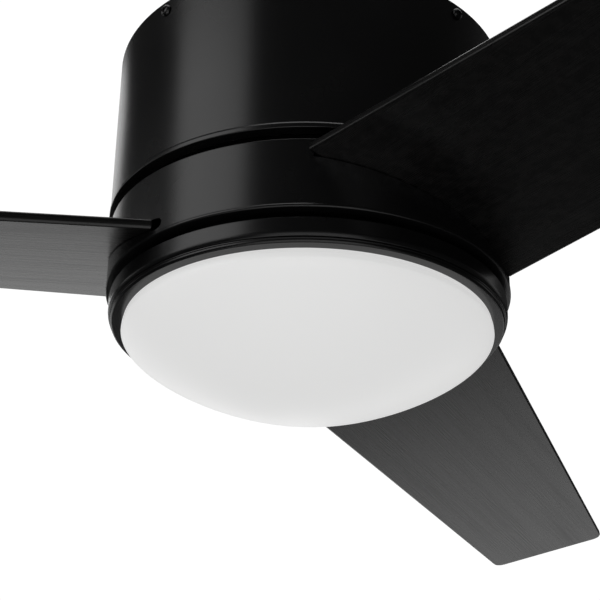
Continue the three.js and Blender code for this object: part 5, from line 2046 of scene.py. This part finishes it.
    def tray(self) -> BMesh:
        """The white tray that carries the board, with the lugs that hold the lens.

        Returns:
            The tray's solid.
        """
        low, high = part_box("led_tray")
        lens_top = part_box("dome_lens")[1].z
        outer = self.lens_radius - self.tray_room
        inner = outer - self.tray_wall
        corners = [
            Corner(0.0, low.z),
            Corner(outer, low.z, BENT_EDGE),
            Corner(outer, high.z, CUT_EDGE),
            Corner(inner, high.z, CUT_EDGE),
            Corner(inner, low.z + self.tray_wall, self.tray_bend),
            Corner(0.0, low.z + self.tray_wall),
        ]
        lug_top = lens_top - self.tab_height - self.gap
        lugs = [
            self.sector(
                outer - self.lock_root,
                outer + self.lug_reach,
                lug_top - self.lug_height,
                lug_top,
                azimuth,
                self.lug_angle,
            )
            for azimuth in self.lock_azimuths
        ]
        return combined(turned(corners, Steps.SHELL), gathered(lugs), Join.WELD)

    def board(self) -> BMesh:
        """The light's round board and its chips.

        Returns:
            The board's solid.
        """
        low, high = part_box("led_board")
        under = low.z + self.chip_height
        body = turned(ring_corners(0.0, self.board_radius, under, high.z, FINE_EDGE), Steps.INNER, 2)
        side = (-self.chip_half, self.chip_half)
        chip = brick(side, side, (low.z, under + self.chip_sink), ROLLED_EDGE, self.chip_arris)
        seats = [
            about_axis(azimuth) @ Matrix.Translation((radius, 0.0, 0.0))
            for count, radius in self.chip_rings
            for azimuth in around(count, 0.0)
        ]
        return combined(body, copies(chip, seats), Join.WELD)

    def driver(self) -> BMesh:
        """The light's driver box with its lid line."""
        return electrical_box("led_driver", self.driver_corner)

    def build(self, shop: Workshop) -> None:
        """Builds the light's pieces.

        Args:
            shop: The workshop that finishes the pieces.
        """
        shop.piece("light_pan", self.pan(), Body.FIXED, Slot.SATIN_BLACK)
        shop.piece("bezel_ring", self.bezel(), Body.FIXED, Slot.SATIN_BLACK)
        shop.piece("dome_lens", self.lens(), Body.LENS, Slot.OPAL_LENS)
        shop.piece("led_tray", self.tray(), Body.FIXED, Slot.WHITE_TRAY)
        shop.piece("led_board", self.board(), Body.FIXED, Slot.LIGHT_BOARD)
        shop.piece("led_driver", self.driver(), Body.FIXED, Slot.DARK_PLASTIC)


# ---------- wiring ----------


# A moulded box's lid: its share of the height, and its joint's width and depth.
LID_SHARE = 0.68
LID_JOINT = 0.5 * MM
LID_DEPTH = 0.35 * MM


def electrical_box(node: str, corner: float) -> BMesh:
    """A moulded box in a node's place, with a lid joint cut round it.

    Args:
        node: The node, which lies square to the axes.
        corner: The rounding of its upright corners.

    Returns:
        The box's solid.
    """
    low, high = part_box(node)
    body = brick((low.x, high.x), (low.y, high.y), (low.z, high.z), corner, SOFT_EDGE)
    joint = low.z + (high.z - low.z) * LID_SHARE
    depth = LID_DEPTH
    outer = brick(
        (low.x - OVERCUT, high.x + OVERCUT),
        (low.y - OVERCUT, high.y + OVERCUT),
        (joint, joint + LID_JOINT),
        0.0,
        0.0,
    )
    inner = brick(
        (low.x + depth, high.x - depth),
        (low.y + depth, high.y - depth),
        (joint - OVERCUT, joint + LID_JOINT + OVERCUT),
        corner,
        0.0,
    )
    return combined(body, combined(outer, inner, Join.CUT), Join.CUT)


@dataclass
class CanopyWiring:
    """The terminal block, the capacitor and the sleeved wires of the light."""

    capacitor_size: Point3 = (22.0 * MM, 48.0 * MM, 26.0 * MM)
    capacitor_offset: float = 74.0 * MM
    capacitor_azimuth: float = 210.0
    capacitor_corner: float = 3.0 * MM
    potting_inset: float = 1.6 * MM
    potting_depth: float = 1.2 * MM
    poles: int = 4
    block_corner: float = 1.2 * MM
    well_radius: float = 2.6 * MM
    well_depth: float = 5.0 * MM
    groove_half: float = 0.6 * MM
    groove_depth: float = 3.0 * MM

    def terminal_block(self) -> BMesh:
        """The block with a screw well for each pole and a groove between poles.

        Returns:
            The block's solid.
        """
        low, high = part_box("terminal_block")
        body = brick(
            (low.x, high.x), (low.y, high.y), (low.z, high.z), self.block_corner, SOFT_EDGE
        )
        step = (high.x - low.x) / self.poles
        middle_y = (low.y + high.y) / 2
        for pole in range(self.poles):
            x = low.x + step * (pole + 0.5)
            well = rod(self.well_radius, low.z - OVERCUT, low.z + self.well_depth)
            body = combined(body, moved(well, Matrix.Translation((x, middle_y, 0.0))), Join.CUT)
        for pole in range(1, self.poles):
            x = low.x + step * pole
            groove = brick(
                (x - self.groove_half, x + self.groove_half),
                (low.y - OVERCUT, high.y + OVERCUT),
                (low.z - OVERCUT, low.z + self.groove_depth),
                0.0,
                0.0,
            )
            body = combined(body, groove, Join.CUT)
        return body

    def capacitor(self) -> BMesh:
        """The motor's run capacitor, a potted box turned with its leg of the hanger.

        Returns:
            The capacitor's solid.
        """
        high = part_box("run_capacitor")[1]
        width, length, height = self.capacitor_size
        offset = self.capacitor_offset
        inset = self.potting_inset
        under = high.z - height
        body = brick(
            (offset - width / 2, offset + width / 2),
            (-length / 2, length / 2),
            (under, high.z),
            self.capacitor_corner,
            BENT_EDGE,
        )
        potting = brick(
            (offset - width / 2 + inset, offset + width / 2 - inset),
            (-length / 2 + inset, length / 2 - inset),
            (under - OVERCUT, under + self.potting_depth),
            inset,
            0.0,
        )
        body = combined(body, potting, Join.CUT)
        return moved(body, about_axis(self.capacitor_azimuth))

    def harness(self) -> BMesh:
        """The sleeved wires: the node's own tube with its flat faces joined.

        Returns:
            The harness's solid.
        """
        body = bmesh.new()
        body.from_mesh(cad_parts["light_harness"].data)
        bmesh.ops.remove_doubles(body, verts=body.verts, dist=1e-6)
        bmesh.ops.dissolve_limit(
            body,
            angle_limit=math.radians(0.5),
            verts=body.verts,
            edges=body.edges,
        )
        return body

    def build(self, shop: Workshop) -> None:
        """Builds the wiring's pieces.

        Args:
            shop: The workshop that finishes the pieces.
        """
        shop.piece("terminal_block", self.terminal_block(), Body.FIXED, Slot.DARK_PLASTIC)
        shop.piece("run_capacitor", self.capacitor(), Body.FIXED, Slot.DARK_PLASTIC)
        shop.piece("light_harness", self.harness(), Body.FIXED, Slot.SLEEVE_RUBBER)


# ---------- studio ----------


@dataclass(frozen=True)
class SoftBox:
    """A square studio light that faces the fan."""

    name: str
    place: Point3
    width: float
    height: float
    radiance: float

    def build(self, target: Vector) -> Object:
        """Makes the light, turned to the target.

        Args:
            target: The point it faces.

        Returns:
            The light's object.
        """
        data = bpy.data.lights.new(self.name, "AREA")
        data.shape = "RECTANGLE"
        data.size = self.width
        data.size_y = self.height
        data.energy = self.radiance * math.pi * self.width * self.height
        made = bpy.data.objects.new(self.name, data)
        bpy.context.scene.collection.objects.link(made)
        made.location = self.place
        made.rotation_mode = "QUATERNION"
        made.rotation_quaternion = (target - made.location).to_track_quat("-Z", "Y")
        return made


@dataclass
class Studio:
    """The camera, the lights, the pale floor and the white surround."""

    target: Point3 = (0.0, 0.0, -0.15)
    camera_place: Point3 = (0.0, -0.87555, -0.59373)
    camera_pitch: float = 25.884
    camera_yaw: float = -0.336
    camera_roll: float = 0.902
    lens: float = 89.73
    sensor: float = 36.0
    floor_drop: float = 6.0
    floor_size: float = 80.0
    floor_colour: Colour = (0.93, 0.93, 0.925)
    surround: float = 1.05
    room_light: float = 0.03
    boxes: tuple[SoftBox, ...] = (
        SoftBox("key_left", (-2.75, -1.75, 0.95), 2.4, 2.6, 1.55),
        SoftBox("left_fill", (-3.2, 0.7, 0.7), 1.8, 1.2, 0.85),
        SoftBox("back_left_high", (-1.55, 2.9, 1.5), 1.6, 1.2, 1.2),
        SoftBox("back_left_level", (-1.3, 3.3, -0.25), 3.2, 1.5, 0.82),
        SoftBox("back_right_low", (0.85, 2.9, -1.05), 2.4, 1.0, 0.7),
        SoftBox("right_edge", (2.9, 1.6, 1.0), 1.0, 1.6, 0.35),
        SoftBox("front_level", (0.1, -3.1, -1.4), 3.0, 1.3, 0.8),
        SoftBox("front_low", (0.0, -1.9, -2.8), 3.2, 1.8, 1.0),
        SoftBox("below", (0.0, 0.0, -3.3), 3.2, 1.2, 0.7),
        SoftBox("overhead", (0.2, -0.7, 3.3), 3.0, 1.6, 1.8),
        SoftBox("back_top", (0.2, 1.8, 2.9), 3.0, 1.6, 1.6),
    )

    def camera(self) -> None:
        """Places the camera below the fan, looking up at it."""
        data = bpy.data.cameras.new("camera")
        data.lens = self.lens
        data.sensor_width = self.sensor
        made = bpy.data.objects.new("camera", data)
        bpy.context.scene.collection.objects.link(made)
        pitch, yaw, roll = (math.radians(a) for a in (self.camera_pitch, self.camera_yaw, self.camera_roll))
        ahead = Vector((math.sin(yaw) * math.cos(pitch), math.cos(yaw) * math.cos(pitch), math.sin(pitch)))
        right = Vector((math.cos(yaw), -math.sin(yaw), 0.0))
        above = right.cross(ahead)
        side = math.cos(roll) * right + math.sin(roll) * above
        top = -math.sin(roll) * right + math.cos(roll) * above
        turn = Matrix((side, top, -ahead)).transposed().to_4x4()
        made.matrix_world = Matrix.Translation(self.camera_place) @ turn
        bpy.context.scene.camera = made

    def floor(self) -> None:
        """Lays the pale floor well below the fan."""
        body = bmesh.new()
        bmesh.ops.create_grid(body, x_segments=2, y_segments=2, size=self.floor_size / 2)
        mesh = bpy.data.meshes.new("floor")
        moved(body, Matrix.Translation((0.0, 0.0, -self.floor_drop))).to_mesh(mesh)
        body.free()
        made = bpy.data.objects.new("floor", mesh)
        bpy.context.scene.collection.objects.link(made)
        material = bpy.data.materials.new("floor_paint")
        material.use_nodes = True
        wiring = Wiring(material.node_tree)
        shine = wiring.node("Emission", {"Color": (*self.floor_colour, 1.0), "Strength": 1.0})
        wiring.node("OutputMaterial", {"Surface": shine.outputs[0]})
        mesh.materials.append(material)
        made.visible_glossy = False
        made.visible_diffuse = False

    def surroundings(self) -> None:
        """Makes the white surround, which lights the fan only a little."""
        world = bpy.data.worlds.new("surround")
        world.use_nodes = True
        bpy.context.scene.world = world
        wiring = Wiring(world.node_tree)
        seen = wiring.node("LightPath").outputs["Is Camera Ray"]
        strength = wiring.ramp(seen, 0.0, 1.0, self.room_light, self.surround)
        shine = wiring.node("Background", {"Color": (1.0, 1.0, 1.0, 1.0), "Strength": strength})
        wiring.node("OutputWorld", {"Surface": shine.outputs[0]})

    def build(self) -> None:
        """Builds the studio."""
        self.camera()
        self.floor()
        self.surroundings()
        for box in self.boxes:
            box.build(Vector(self.target))
        settings = bpy.context.scene.view_settings
        settings.view_transform = "Standard"
        settings.look = "None"


def main() -> None:
    """Builds the studio and every sub-assembly in order."""
    logging.basicConfig(level=logging.INFO, format="%(name)s: %(message)s")
    Studio().build()
    shop = Workshop(Finishes())
    place = BladePlace()
    drum = Drum(place)
    blades = BladeSet(place)
    UpperHousing().build(shop)
    HangerAndShaft().build(shop)
    Motor().build(shop, place, blades.arm_screws, drum)
    drum.build(shop)
    blades.build(shop)
    LightKit().build(shop)
    CanopyWiring().build(shop)


if __name__ == "__main__":
    main()
